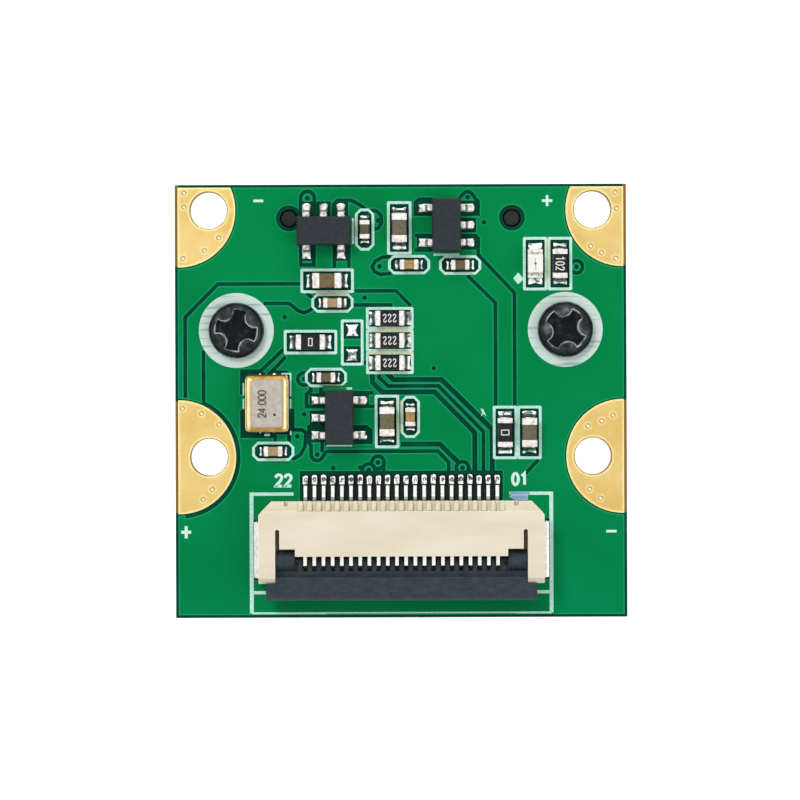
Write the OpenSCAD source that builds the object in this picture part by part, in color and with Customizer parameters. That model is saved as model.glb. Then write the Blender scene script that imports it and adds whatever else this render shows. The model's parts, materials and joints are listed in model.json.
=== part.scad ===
// Camera module: a small board with a flat cable connector on its component side and an
// M12 lens in its holder on the other side. It stands on the rim of its lens, component side up.
// +X right, +Y away from the connector edge, +Z out of the component side, origin under the
// middle of the board at the lens rim.

/* [Board] */
// Width of the board
board_w = 24.7; // [24.3:0.1:26]
// Height of the board, from the connector edge to the far edge
board_h = 23.7; // [23.5:0.1:25]
// Thickness of the laminate
board_t = 1.2; // [0.8:0.1:1.6]
// Thickness of the masked copper areas
copper_t = 0.05; // [0.03:0.01:0.07]
// Bare laminate left between the copper and the board's edge
copper_inset = 0.15; // [0.1:0.05:0.25]
// Width of the gaps that part the copper areas
gap_w = 0.2; // [0.14:0.01:0.24]
// Gap round a solder pad
pad_gap = 0.14; // [0.08:0.01:0.18]
// Diameter of a via
via_d = 0.26; // [0.2:0.02:0.34]
// Thickness of the print
print_t = 0.02; // [0.01:0.01:0.04]
// Width of a printed line
print_w = 0.15; // [0.1:0.01:0.2]

/* [Mounting holes] */
// Diameter of the four mounting holes
mount_hole_d = 2.1; // [1.7:0.1:2.3]
// Distance from the board's side edges to the middles of the mounting holes
mount_edge = 1.85; // [1.65:0.05:2.05]
// Distance between the lower and upper mounting holes
mount_span_y = 13.5; // [13:0.1:13.8]
// Middle of the mounting holes above the middle of the board
mount_mid_y = 3.7; // [3.5:0.1:3.9]
// Radius of the bare pad round a mounting hole
corner_pad_r = 3.12; // [2.9:0.02:3.2]
// Distance from the board's edge to the middle of the bare pad's arc
corner_pad_in = 0.2; // [0:0.05:0.4]

/* [Holder screws] */
// Distance between the two screws that hold the lens holder
screw_span = 18; // [17.8:0.1:18.2]
// Diameter of the screw shank
screw_d = 1.8; // [1.4:0.1:2]
// Length of the screw under its head
screw_l = 4.2; // [3.6:0.1:4.6]
// Diameter of the screw head
screw_head_d = 3; // [2.8:0.1:3.2]
// Height of the screw head
screw_head_h = 1; // [0.8:0.1:1.2]
// Tip to tip length of the cross recess
recess_l = 2.3; // [1.9:0.1:2.4]
// Radius of the lobes between the arms of the cross recess
recess_lobe_r = 0.52; // [0.44:0.02:0.6]
// Depth of the cross recess
recess_depth = 0.65; // [0.4:0.05:0.7]
// Turn of the left screw's recess
left_screw_turn = -12; // [-45:1:45]
// Turn of the right screw's recess
right_screw_turn = -38; // [-45:1:45]
// Outer diameter of the printed ring round a screw
screw_ring_d = 4.1; // [3.8:0.1:4.4]

/* [Lens holder] */
// Lens axis above the middle of the board
lens_y = 3.88; // [3.7:0.02:4]
// Height of the holder, from the board to the end of its neck
holder_h = 9.5; // [9:0.1:9.8]
// Side of the holder's square base
holder_base_w = 14.2; // [14:0.1:14.4]
// Height of the holder's square base
holder_base_h = 4.2; // [4:0.1:4.5]
// Outer diameter of the holder's neck
neck_d = 14; // [13.6:0.1:14.1]
// Height of the ears that take the screws
ear_h = 3.6; // [3.4:0.1:3.9]
// Radius of the end of an ear
ear_r = 2.1; // [1.9:0.05:2.2]
// Side of the square cavity over the image sensor
cavity_w = 11; // [10.4:0.1:11.2]
// Clearance between the end of the lens and the web that carries the filter
rear_gap = 0.6; // [0.4:0.1:0.8]
// Thickness of the web that carries the infrared filter
filter_web_t = 1; // [0.8:0.1:1.2]
// Side of the window in that web
filter_window_w = 7; // [6:0.1:7.4]
// Width between the two locating pegs
peg_span = 12.2; // [12.1:0.05:12.3]
// Distance from the lens axis up to the locating pegs
peg_rise = 6.12; // [6.05:0.01:6.2]
// Diameter of a locating peg
peg_d = 0.85; // [0.7:0.05:0.95]
// Radial clearance round a locating peg
peg_clear = 0.08; // [0.05:0.01:0.15]

/* [Lens] */
// Distance from the board to the front rim of the lens
lens_drop = 15; // [14.6:0.1:15.4]
// Diameter of the lens thread
thread_d = 12; // [11.6:0.1:12.2]
// Diameter of the lens head
head_d = 14; // [13.4:0.1:14.2]
// Height of the lens head
head_h = 4.6; // [4:0.1:4.9]
// Length of the lens barrel
barrel_l = 10.4; // [10:0.1:10.6]
// Radial running clearance of the lens in its holder
lens_clear = 0.05; // [0.02:0.01:0.08]
// Radius of the front and middle glass elements
glass_r = 5; // [4.8:0.05:5.2]
// Radius of the rear glass element
rear_glass_r = 4; // [3.8:0.05:4.2]
// Clearance round each glass element
glass_clear = 0.02; // [0.01:0.01:0.04]
// Depth of the retaining ring's outer face behind the front rim
ring_recess = 0.7; // [0.5:0.05:0.9]
// Thickness of the retaining ring
ring_t = 0.8; // [0.6:0.05:1]
// Edge thickness of the front glass element
front_glass_t = 2.1; // [1.8:0.1:2.4]
// Thickness of the spacer ring
spacer_t = 1.2; // [1:0.1:1.5]
// Edge thickness of the middle glass element
middle_glass_t = 2.2; // [1.9:0.1:2.4]
// Thickness of the barrel's inner shoulder
shoulder_t = 1.5; // [1.2:0.1:1.7]

/* [Image sensor] */
// Side of the image sensor's package
sensor_w = 8.6; // [8:0.1:9]
// Thickness of the image sensor's package
sensor_t = 0.8; // [0.6:0.05:1]
// Side of the sensor's cover glass
sensor_glass_w = 7.6; // [7:0.1:7.8]
// Thickness of the sensor's cover glass
sensor_glass_t = 0.4; // [0.3:0.05:0.5]
// Side of the infrared filter
filter_w = 8.6; // [8:0.1:9.4]
// Thickness of the infrared filter
filter_t = 0.3; // [0.2:0.05:0.4]

/* [Cable connector] */
// Number of contacts
pins = 22; // [18:1:24]
// Distance from one contact to the next
pitch = 0.5; // [0.48:0.01:0.52]
// Width of a contact
contact_w = 0.2; // [0.16:0.01:0.22]
// Side clearance of a contact in its channel
contact_clear = 0.03; // [0.02:0.005:0.04]
// Distance from the board's edge to the front of the latch
conn_edge = 1; // [0.8:0.1:1.2]
// Depth of the connector, from the latch's front to the housing's rear
conn_depth = 5.38; // [5.3:0.02:5.5]
// Height of the housing
housing_h = 2; // [1.9:0.05:2.2]
// Height of the low ledge at the rear of the housing
ledge_h = 1.5; // [1.3:0.05:1.7]
// Depth of that ledge
ledge_depth = 0.53; // [0.4:0.01:0.6]
// Thickness of the housing's floor
floor_h = 0.45; // [0.4:0.01:0.5]
// Width of the housing beyond the middle of the end contact
housing_side = 2.53; // [2.45:0.01:2.6]
// Width of each side arm of the housing
arm_w = 0.91; // [0.85:0.01:0.95]
// Width of the slit between an arm and the housing's top
slit_w = 0.23; // [0.2:0.01:0.26]
// Thickness of the hold-down nails
nail_t = 0.29; // [0.2:0.01:0.35]
// Length of the hold-down nails
nail_l = 3.05; // [2.8:0.05:3.2]

/* [Connector latch] */
// Height of the latch's pivot above the board
pivot_z = 1.15; // [1.12:0.01:1.18]
// Distance from the latch's front edge to its pivot
pivot_in = 2.13; // [2.1:0.01:2.2]
// Radius of the latch's pivot shaft
shaft_r = 0.18; // [0.14:0.01:0.2]
// Radius of the pivot stubs at the latch's ends
stub_r = 0.2; // [0.16:0.01:0.22]
// Radial running clearance of the pivot
pivot_clear = 0.04; // [0.03:0.005:0.06]
// Height of the latch's grip bar above the pivot
grip_rise = 0.7; // [0.6:0.02:0.75]

/* [Regulators] */
// Length of a regulator body
reg_l = 2.95; // [2.8:0.05:3.05]
// Width of a regulator body
reg_w = 1.6; // [1.45:0.05:1.7]
// Height of a regulator body
reg_h = 1.05; // [0.95:0.05:1.2]
// Lead pitch of a regulator
reg_pitch = 0.95; // [0.9:0.01:0.98]
// Width of a regulator lead
reg_lead_w = 0.34; // [0.3:0.02:0.4]
// Reach of a regulator lead beyond the body
reg_lead_out = 0.6; // [0.55:0.05:0.7]

/* [Chips] */
// Length of a large chip
big_l = 1.58; // [1.5:0.02:1.66]
// Width of a large chip
big_w = 0.82; // [0.76:0.02:0.86]
// Height of a large capacitor
big_cap_h = 0.8; // [0.7:0.05:0.9]
// Height of a chip resistor
resistor_h = 0.45; // [0.4:0.05:0.55]
// Length of a large chip's end cap
big_end = 0.38; // [0.3:0.02:0.42]
// Length of a chip resistor's end cap
resistor_end = 0.28; // [0.24:0.02:0.34]
// Length of a small chip
small_l = 1; // [0.96:0.02:1.04]
// Width of a small chip
small_w = 0.54; // [0.5:0.02:0.58]
// Height of a small capacitor
small_cap_h = 0.5; // [0.45:0.05:0.6]
// Length of a small chip's end cap
small_end = 0.24; // [0.2:0.02:0.28]
// Thickness of an end cap's metal
end_t = 0.03; // [0.02:0.01:0.04]
// Length of the solder beyond a large chip
big_solder = 0.44; // [0.36:0.02:0.48]
// Length of the solder beyond a small chip
small_solder = 0.32; // [0.26:0.02:0.36]
// Height of the light emitting diode
led_h = 0.6; // [0.5:0.05:0.75]

/* [Oscillator] */
// Width of the oscillator's ceramic base
osc_w = 2.36; // [2.3:0.02:2.5]
// Length of the oscillator's ceramic base
osc_l = 3.16; // [3.1:0.02:3.3]
// Height of the oscillator's ceramic base
osc_base_h = 0.5; // [0.4:0.05:0.6]
// Inset of the metal seal ring from the base's edge
seal_inset = 0.03; // [0.02:0.01:0.08]
// Height of the metal seal ring
seal_h = 0.18; // [0.15:0.01:0.3]
// Inset of the lid from the seal ring's edge
lid_inset = 0.23; // [0.1:0.01:0.25]
// Height of the lid
lid_h = 0.12; // [0.08:0.01:0.16]

/* [Hidden] */
$fn = 64;
eps = 0.01;

// Levels
board_z = lens_drop;
top_z = board_z + board_t;
pour_z = top_z + copper_t;

// Chip types: length, width, height, length of the end caps, length of the solder
large_cap = [big_l, big_w, big_cap_h, big_end, big_solder];
small_cap = [small_l, small_w, small_cap_h, small_end, small_solder];
resistor = [big_l, big_w, resistor_h, resistor_end, big_solder];
led = [big_l, big_w, led_h, big_end, big_solder];

// Places on the board: x, y and turn of each part
large_cap_at = [[-4.02, 6.58, 0], [-0.06, 9.46, 90], [-0.77, -1.13, 90], [7.02, -1.75, 90]];
small_cap_at = [[-3.73, 5.37, 0], [-1.96, 9.38, 90], [0.47, 7.45, 0], [3.26, 7.42, 0],
                [-4.1, 1.29, 0], [0.5, -0.88, 90], [-7, -2.74, 0]];
resistor_at = [[8.72, 7.48, 90], [-0.6, 4.52, 180], [-0.6, 3.3, 180], [-0.6, 2.08, 180],
               [-4.94, 3.23, 0], [5.69, -1.75, 90]];
led_at = [7.37, 7.48, 90];
regulator_at = [[-4.2, 9.3, 0], [2.52, 9.6, -90], [-3.38, -0.92, 90]];
osc_at = [-7.33, -0.12];
spare_pads_at = [-2.66, 3.2];

// Printed frames round the parts, and the spare footprint's pads
large_frame = [2.92, 1.34];
small_frame = [2.3, 1.06];
stack_frame = [2.6, 1.22];
spare_frame = [1.24, 2.52];
spare_pad = [0.76, 0.66];
spare_pitch = 1.36;
frame_cut = 0.3;
frame_corner = 0.06;
lead_pad_l = 0.74;
lead_pad_side = 0.08;

// Lens holder and its screws
ear_x = screw_span / 2;
web_z = barrel_l + rear_gap;
cavity_top_z = web_z + filter_web_t;
neck_z = board_z - holder_h;
screw_fit = 0.02;

// Connector, from the board's edge upward
latch_y = -board_h / 2 + conn_edge;
pivot_y = latch_y + pivot_in;
rear_y = latch_y + conn_depth;
plate_y = rear_y - ledge_depth;
pin_half = (pins - 1) * pitch / 2;
housing_half = pin_half + housing_side;
arm_x = housing_half - arm_w;
nose_x = pin_half + 0.55;
side_gap = 0.03;
cable_half = nose_x + 0.07;
beam_z = pivot_z + shaft_r + pivot_clear;
beam_t = 0.2;
channel_w = contact_w + 2 * contact_clear;
nose_y = pivot_y + 0.27;
ear_edge_y = nose_y + 0.4;
ear_cam_r = 0.58;
comb_depth = 0.55;
step_in = 0.88;
wing_r = 1.38;
wing_x = arm_x + 0.5;
arm_front_y = pivot_y - 1.21;

// Print
mask_back = 0.2;
ring_clear = 0.05;
frame_out = 0.13;
frame_rear = 0.39;
frame_front = 0.75;
frame_arm = 2.4;
frame_tick = 0.75;
led_mark_at = [6.43, 6.66];
arrow_mark_at = [4.5, -0.65];
pin_mark_at = [6.42, -5.26];

// Solder pads of the connector and the oscillator
pin_tail = 0.85;
pin_toe = 0.65;
pin_pad_w = 0.33;
pin_pad_l = pin_tail + pin_toe - 0.1;
nail_y = plate_y - 0.6;
osc_pad = [0.9, 1.1];
osc_toe = -0.04;
osc_print_out = 0.11;

// Mounting holes
mount_span_x = board_w - 2 * mount_edge;

// Vias: round each mounting hole, places with a ring of their own, places in a copper area
pad_vias = [
    [-1, 1, [[-1.35, 0.97], [-1.35, 0.2], [0.55, -1.48], [-0.23, -2.18], [-1.4, -2.62]]],
    [1, 1, [[1.25, 0.93], [1.32, 0.05], [-0.1, -2], [0.5, -2.37], [1.28, -2.68]]],
    [-1, -1, [[-1.47, 2.68], [-0.43, 2.4], [0.53, 1.8], [0.15, -1.75], [-0.35, -2.3]]],
    [1, -1, [[1.1, 2.23], [0.48, 1.92], [-0.28, 1.65], [-0.2, -1.8], [0.4, -2.3]]]
];
via_ring_r = 0.24;
ringed_vias = [[-5.3, 1.21], [-1.27, -3.37], [-1.78, -3.78], [3.35, -3.68], [9.62, 7.3]];
plain_vias = [[-5.08, 11.1], [-1.22, 9.87], [-1.15, 7.36], [-4.6, -2.93], [3.68, 11.13],
              [4.58, 9.75], [-1.97, 5.65], [-5.3, -0.72], [-5.68, -1.93], [1.8, 1.78],
              [-1.9, 2.1], [-6.35, 4.6], [-3.72, -3.66], [-2.25, -3.65]];

// Points along an arc
function arc(middle, r, from, to, steps = 8) =
    [for (i = [0 : steps])
        let (turn = from + (to - from) * i / steps)
        middle + r * [cos(turn), sin(turn)]];

// Gap lines between the copper areas, as routed on the board
lower_left_pad = [corner_pad_in - board_w / 2, mount_mid_y - mount_span_y / 2];
gap_routes = [
    // Left edge and the big lower left pad
    [[-5.4, 6.42], [-10, 6.42], [-11.8, 4.6], [-11.8, 0.2]],
    concat([[-10.8, 2.8]], arc(lower_left_pad, corner_pad_r + 0.14, 65.5, -84, 20)),
    // Left regulator and its vias
    concat([[-5.46, 9.95]], arc([-5.08, 11.1], 0.38, 180, 0), [[-4.7, 9.95]]),
    [[-3.66, 9.95], [-3.66, 10.75], [-3.42, 10.98], [-2.7, 10.98], [-2.2, 10.72], [-1.85, 10.45]],
    [[-1.7, 10.42], [-1.32, 10.4], [-1.06, 10.16], [-1.03, 9.76], [-1.2, 9.45], [-1.5, 9.37]],
    [[-5.45, 8.6], [-5.45, 7.45], [-4.74, 7.45], [-4.74, 8.6]],
    [[-3.62, 8.6], [-3.62, 7.3]],
    [[-2.83, 8.6], [-2.83, 7.3]],
    // Upper regulator
    [[2, 11.02], [1.03, 11.02], [0.83, 10.84], [0.83, 10.21], [2, 10.21]],
    [[2, 9.04], [0.79, 9.04]],
    [[0.77, 8.24], [2.1, 8.24]],
    concat([[3.2, 11.05]], arc([3.68, 11.13], 0.3, 150, 30, 6),
           [[4.1, 11.05], [4.25, 10.9], [4.25, 10.21], [3.1, 10.21]]),
    [[3.1, 9.03], [4.08, 9.03], [4.25, 8.86], [4.25, 7.98], [6.23, 5.88], [6.23, -0.35]],
    [[3.65, 6.85], [5.18, 5.35], [5.18, -0.35]],
    // Round the small capacitors at the middle
    [[-0.5, 7.9], [-0.98, 7.86], [-1.38, 7.66], [-1.56, 7.34], [-1.42, 7.06], [-1.1, 6.92],
     [-0.5, 6.97]],
    [[-7.5, 5.35], [-6.1, 5.35], [-5.6, 4.95], [-5.3, 4.84], [-5, 4.95], [-4.7, 5.2]],
    [[-5.15, 5.92], [-4.75, 5.58]],
    [[-2.5, 6.02], [-0.25, 6.02], [0.55, 5.2]],
    [[-2.6, 5.25], [-0.45, 5.25]],
    // Oscillator
    [[-6.4, 2.86], [-7.72, 1.61]],
    [[-6.3, 2.43], [-7.1, 1.58], [-6.2, 1.58]],
    [[-7.1, -1.9], [-6.88, -1.95], [-6.88, -2.4]],
    [[-6.14, -1.7], [-6.14, -2.4]],
    [[-5.97, -3.2], [-5.52, -2.94], [-5.27, -2.5], [-5.21, -1.73], [-5.42, -1.57], [-5.93, -1.57],
     [-5.93, -0.42]],
    // Lower regulator
    [[-4.93, 0.85], [-4.93, 0.57], [-5.17, 0.38], [-5.17, -0.3], [-4, -0.3]],
    [[-4.38, 0.85], [-4.38, 0.48], [-4.1, 0.42]],
    concat([[-4, -1.4], [-5.02, -1.4], [-5.08, -2.22], [-4.93, -2.45]],
           arc([-4.6, -2.93], 0.33, 180, 340), [[-4.1, -2.76]]),
    [[-4.32, -2.1], [-4.32, -2.78]],
    [[-2.8, 0.47], [-1.5, 0.44]],
    [[-2.7, -0.3], [-1.4, -0.3]],
    [[-2.7, -1.42], [-1.9, -1.42], [-1.66, -1.62], [-1.66, -2.26], [-2.8, -2.26]],
    // The two traces to the connector and their neighbours
    [[-1.2, 1.6], [-1.2, 1.3], [-0.7, 0.81], [2.05, 0.81], [4.5, -1.7], [4.5, -3.9]],
    [[-4.1, -2.76], [2, -2.76], [2.6, -3.37], [2.6, -3.9]],
    [[3.72, -3.72], [3.77, -3.9]],
    [[-0.96, -3.3], [-0.96, -3.9]],
    [[7.5, -3.25], [6.8, -4]]
];
wide_gap_w = 0.27;
wide_gap_routes = [
    [[-7.55, 1.61], [-8.66, 1.61], [-8.66, 0.36]],
    [[-8.66, -0.47], [-8.66, -1.87], [-7.1, -1.87]],
    [[-0.86, 1.6], [-0.42, 1.16], [2.22, 1.16], [4.98, -1.58], [4.98, -3.9]],
    [[-1.58, 1.6], [-1.55, 1], [-1.03, 0.48], [1.84, 0.48], [4.03, -1.76], [4.03, -3.9]],
    [[-0.02, -2.37], [2.12, -2.37], [3.1, -3.35]]
];

// Small details
led_base_h = 0.25;
led_lens_l = 1.14;
spare_rise = 0.04;
reg_draft = 0.08;
reg_standoff = 0.06;
reg_lead_t = 0.14;
osc_notch_r = 0.16;
tail_t = 0.14;
slit_end_y = plate_y - 1.1;
cable_stop_y = plate_y - 1.1;
channel_z = 0.1;
stub_in = 0.28;
arm_chamfer = 0.3;
reg_root = 0.3;
ledge_channel_h = 0.4;
ledge_groove = 0.1;
channel_front_y = arm_front_y + 0.4;
nail_foot_t = 0.15;
nail_plate_t = 0.14;
nail_h = 1;
latch_under = 0.2;
comb_rise = 0.22;
slot_w = contact_w + 0.06;
screw_crown_r = 2.2;
rib_t = 1;
rib_out = 1.4;
rib_rise = 2;
peg_short = 0.15;
pilot_depth = screw_l - board_t - copper_t + 0.2;

// Stack of the lens, from its front rim inward
glass_z = ring_recess + ring_t;
shoulder_z = glass_z + front_glass_t + spacer_t + middle_glass_t;
rear_stop_r = rear_glass_r - 0.5;
ring_r = glass_r + 0.6;
ring_in_r = glass_r - 0.5;
spacer_wall = 0.7;

// Curved faces of the glass: rise at the middle, and the bare margin round them
front_bulge = ring_recess - 0.1;
front_hollow = 0.7;
middle_hollow = 0.5;
rear_front_bulge = 0.6;
rear_bulge = 0.25;
glass_margin = 0.1;
rear_glass_t = barrel_l - shoulder_z - shoulder_t - rear_bulge;
channel_room = 0.04;

// ---- Shared shapes ----

module at(place, z = 0) {
    translate([place[0], place[1], z])
        rotate(len(place) > 2 ? place[2] : 0)
            children();
}

module rect(size, middle = [0, 0]) {
    translate(middle)
        square(size, center = true);
}

function left_of(a, b) = [a[1] - b[1], b[0] - a[0]] / norm(b - a);

// Way and length from a bend of a route to the mitred corner of a ribbon of width 2
function mitre(route, i) =
    let (before = left_of(route[max(i - 1, 0)], route[max(i, 1)]),
         after = left_of(route[min(i, len(route) - 2)], route[min(i + 1, len(route) - 1)]),
         middle = (before + after) / norm(before + after))
    middle / (middle * before);

// A line of even width through a list of points, with mitred bends
module ribbon(route, width) {
    last = len(route) - 1;
    polygon(concat([for (i = [0 : last]) route[i] + mitre(route, i) * width / 2],
                   [for (i = [last : -1 : 0]) route[i] - mitre(route, i) * width / 2]));
}

// A block with its corners cut off
module cut_rect(size, cut) {
    half = size / 2;
    polygon([[half[0] - cut, -half[1]], [half[0], cut - half[1]],
             [half[0], half[1] - cut], [half[0] - cut, half[1]],
             [cut - half[0], half[1]], [-half[0], half[1] - cut],
             [-half[0], cut - half[1]], [cut - half[0], -half[1]]]);
}

// The two ends of a chip, the second one turned about
module both_ends() {
    children();
    rotate(180)
        children();
}

// ---- Board ----

module mount_holes() {
    for (x = [-1, 1], y = [-1, 1])
        translate([x * mount_span_x / 2, mount_mid_y + y * mount_span_y / 2])
            circle(d = mount_hole_d);
}

module holder_holes() {
    for (side = [-1, 1]) {
        translate([side * ear_x, lens_y])
            circle(d = screw_d + 2 * screw_fit + mask_back);
        translate([side * peg_span / 2, lens_y + peg_rise])
            circle(d = peg_d + 2 * peg_clear);
    }
}

module copper_edge() {
    rect([board_w - 2 * copper_inset, board_h - 2 * copper_inset]);
}

module circuit_board() {
    color("darkgreen")
        translate([0, 0, board_z])
            linear_extrude(board_t)
                difference() {
                    rect([board_w, board_h]);
                    mount_holes();
                    holder_holes();
                }
}

// One bare pad: part of a disc, cut off by the board's edge
module corner_pad_shape(side, level, grow = 0) {
    intersection() {
        offset_edge = copper_inset - grow;
        rect([board_w - 2 * offset_edge, board_h - 2 * offset_edge]);
        translate([side * (board_w / 2 - corner_pad_in), mount_mid_y + level * mount_span_y / 2])
            circle(r = corner_pad_r + grow);
    }
}

module corner_pad_shapes(grow = 0) {
    for (side = [-1, 1], level = [-1, 1])
        corner_pad_shape(side, level, grow);
}

module corner_pad_vias() {
    for (pad = pad_vias, place = pad[2])
        translate([pad[0] * mount_span_x / 2, mount_mid_y + pad[1] * mount_span_y / 2] + place)
            circle(d = via_d, $fn = 24);
}

module corner_pads() {
    color("goldenrod")
        for (z = [board_z - copper_t, top_z])
            translate([0, 0, z])
                linear_extrude(copper_t)
                    difference() {
                        corner_pad_shapes();
                        mount_holes();
                        corner_pad_vias();
                    }
}

// No copper lies inside a chip's printed frame
module frame_inside(size, cut = frame_corner) {
    cut_rect(size - 2 * [print_w, print_w], cut * 0.6);
}

module chip_clearings() {
    for (place = large_cap_at)
        at(place) frame_inside(large_frame);
    for (place = small_cap_at)
        at(place) frame_inside(small_frame, frame_cut);
    for (i = [0 : len(resistor_at) - 1])
        at(resistor_at[i]) frame_inside(i > 0 && i < 4 ? stack_frame : large_frame);
    at(led_at) frame_inside(large_frame);
}

module lead_pads(grow = 0) {
    at_leads()
        rect([reg_lead_w + 2 * (lead_pad_side + grow), lead_pad_l + 2 * grow],
             [0, reg_lead_out + lead_pad_side - lead_pad_l / 2]);
}

module spare_pads(grow = 0) {
    for (side = [-1, 1])
        rect(spare_pad + 2 * [grow, grow], [0, side * spare_pitch / 2]);
}

module connector_pads() {
    for (i = [0 : pins - 1])
        rect([pin_pad_w, pin_pad_l], [i * pitch - pin_half, rear_y + pin_tail - pin_pad_l / 2 + pin_toe]);
}

module nail_pads(grow = 0) {
    for (side = [-1, 1])
        rect([nail_t + 2 * grow, nail_l + 2 * grow],
             [side * (housing_half + nail_t / 2), nail_y - nail_l / 2]);
}

module osc_pads(grow = 0) {
    for (x = [-1, 1], y = [-1, 1])
        rect([osc_pad[0] + 2 * grow, osc_pad[1] + 2 * grow],
             [x * (osc_w / 2 - osc_pad[0] / 2 + osc_toe), y * (osc_l / 2 - osc_pad[1] / 2 + osc_toe)]);
}

module other_pads(grow = 0) {
    for (place = regulator_at)
        at(place) lead_pads(grow);
    at(osc_at) osc_pads(grow);
    at(spare_pads_at) spare_pads(grow);
    nail_pads(grow);
}

// Gap lines between the copper areas
module copper_gaps() {
    for (route = gap_routes)
        ribbon(route, gap_w);
    for (route = wide_gap_routes)
        ribbon(route, wide_gap_w);
    for (place = ringed_vias)
        translate(place)
            difference() {
                circle(r = via_ring_r + gap_w, $fn = 32);
                circle(r = via_ring_r, $fn = 32);
            }
    rect([2 * pin_half + pin_pad_w + 2 * pad_gap, pin_tail + pin_toe + 2 * pad_gap],
         [0, rear_y + (pin_tail + pin_toe) / 2]);
}

module vias() {
    for (place = concat(plain_vias, ringed_vias))
        translate(place)
            circle(d = via_d, $fn = 24);
}

module copper_pour() {
    color("seagreen")
        translate([0, 0, top_z])
            linear_extrude(copper_t)
                difference() {
                    copper_edge();
                    corner_pad_shapes(pad_gap / 2);
                    mount_holes();
                    holder_holes();
                    for (side = [-1, 1])
                        translate([side * peg_span / 2, lens_y + peg_rise])
                            circle(d = peg_d + 2 * (peg_clear + gap_w));
                    chip_clearings();
                    other_pads(pad_gap);
                    copper_gaps();
                    vias();
                }
}

// ---- Print ----

module frame(size, cut = frame_corner) {
    difference() {
        cut_rect(size, cut);
        frame_inside(size, cut);
    }
}

module screw_rings() {
    for (side = [-1, 1])
        translate([side * ear_x, lens_y])
            difference() {
                circle(d = screw_ring_d);
                circle(d = screw_head_d + ring_clear);
            }
}

// The frame round the connector, open behind its pins
module connector_frame() {
    outer_x = housing_half + nail_t + frame_out;
    top_y = rear_y + frame_rear;
    base_y = latch_y - frame_front;
    for (side = [-1, 1]) {
        rect([print_w * 1.4, top_y - base_y], [side * outer_x, (top_y + base_y) / 2]);
        rect([frame_arm, print_w * 1.2], [side * (outer_x - frame_arm / 2 + 0.1), top_y]);
        rect([frame_tick, print_w * 1.2],
             [side * (outer_x - frame_tick * 0.6), latch_y + frame_rear - eps]);
    }
    rect([2 * outer_x, print_w * 0.7], [0, base_y]);
}

// A short line along each regulator's end
module regulator_marks() {
    for (place = regulator_at)
        at(place)
            rect([print_w * 0.8, reg_w - 0.2], [reg_l / 2 + 0.13, 0]);
}

// Outline of the oscillator, broken where its pads come
module oscillator_marks() {
    line = print_w * 0.6;
    right = osc_w / 2 + osc_print_out;
    rect([line, 1.25], [right, 1.02]);
    rect([0.55, line], [right - 0.23, 1.62]);
    rect([line, 0.5], [right, -0.02]);
    rect([line, 0.22], [right, -1.62]);
    rect([line, 0.68], [-right, 0.78]);
    rect([line, 0.52], [-right, -0.02]);
    rect([0.3, line * 1.4], [0, -osc_l / 2 - 0.14]);
}

// Polarity diamond of the LED, and an arrowhead by the traces
module small_marks() {
    translate(led_mark_at)
        polygon([[-0.27, 0.02], [0, 0.34], [0.25, 0.06], [0.25, -0.08], [0, -0.3]]);
    translate(arrow_mark_at)
        polygon([[-0.16, 0.22], [-0.02, 0.19], [0.18, -0.22], [0, -0.08], [-0.14, -0.22], [-0.06, 0]]);
    translate(pin_mark_at)
        polygon([[-0.52, 0], [-0.16, 0.2], [0.5, 0.2], [0.5, -0.18], [-0.2, -0.18]]);
}

module printed_outlines() {
    color("honeydew")
        translate([0, 0, pour_z])
            linear_extrude(print_t)
                difference() {
                    union() {
                        for (i = [0 : len(large_cap_at) - 1])
                            at(large_cap_at[i]) frame(large_frame);
                        for (place = small_cap_at)
                            at(place) frame(small_frame, frame_cut);
                        for (i = [0 : len(resistor_at) - 1])
                            at(resistor_at[i]) frame(i > 0 && i < 4 ? stack_frame : large_frame);
                        at(led_at) frame(large_frame);
                        at(spare_pads_at) frame(spare_frame);
                        screw_rings();
                        connector_frame();
                        regulator_marks();
                        at(osc_at) oscillator_marks();
                        small_marks();
                    }
                    other_pads();
                }
}

// ---- Chips ----

// Ceramic body of a chip, inside the metal of its end caps
module chip_body(type) {
    translate([0, 0, type[2] / 2])
        cube([type[0] - 2 * end_t, type[1] - 2 * end_t, type[2] - 2 * end_t], center = true);
}

module chip_ends(type) {
    difference() {
        both_ends()
            translate([type[0] / 2 - type[3], -type[1] / 2, 0])
                cube([type[3], type[1], type[2]]);
        chip_body(type);
    }
}

// Section of a solder fillet, hollow between its foot and its top
module fillet_section(reach, rise) {
    chord = norm([reach, rise]);
    sag = 0.14 * chord;
    r = (chord * chord / 4 + sag * sag) / (2 * sag);
    out = (r - sag) / chord;
    difference() {
        polygon([[0, 0], [reach, 0], [0, rise]]);
        translate([reach / 2 + out * rise, rise / 2 + out * reach])
            circle(r = r, $fn = 96);
    }
}

// Pads and fillets of one chip
module chip_joint(type, rise) {
    both_ends() {
        translate([type[0] / 2 - type[3], -type[1] / 2, -copper_t])
            cube([type[3] + type[4], type[1], copper_t]);
        translate([type[0] / 2, type[1] / 2 - end_t, 0])
            rotate([90, 0, 0])
                linear_extrude(type[1] - 2 * end_t)
                    fillet_section(type[4], rise * type[2]);
    }
}

module chip_solder() {
    color("silver") {
        for (place = large_cap_at)
            at(place, pour_z) chip_joint(large_cap, 0.5);
        for (place = small_cap_at)
            at(place, pour_z) chip_joint(small_cap, 0.6);
        for (place = resistor_at)
            at(place, pour_z) chip_joint(resistor, 0.8);
        at(led_at, pour_z) chip_joint(led, 0.4);
        at(spare_pads_at, top_z)
            linear_extrude(copper_t + spare_rise)
                spare_pads();
    }
}

module capacitor(type, place, tint) {
    color(tint)
        at(place, pour_z)
            chip_body(type);
}

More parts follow.
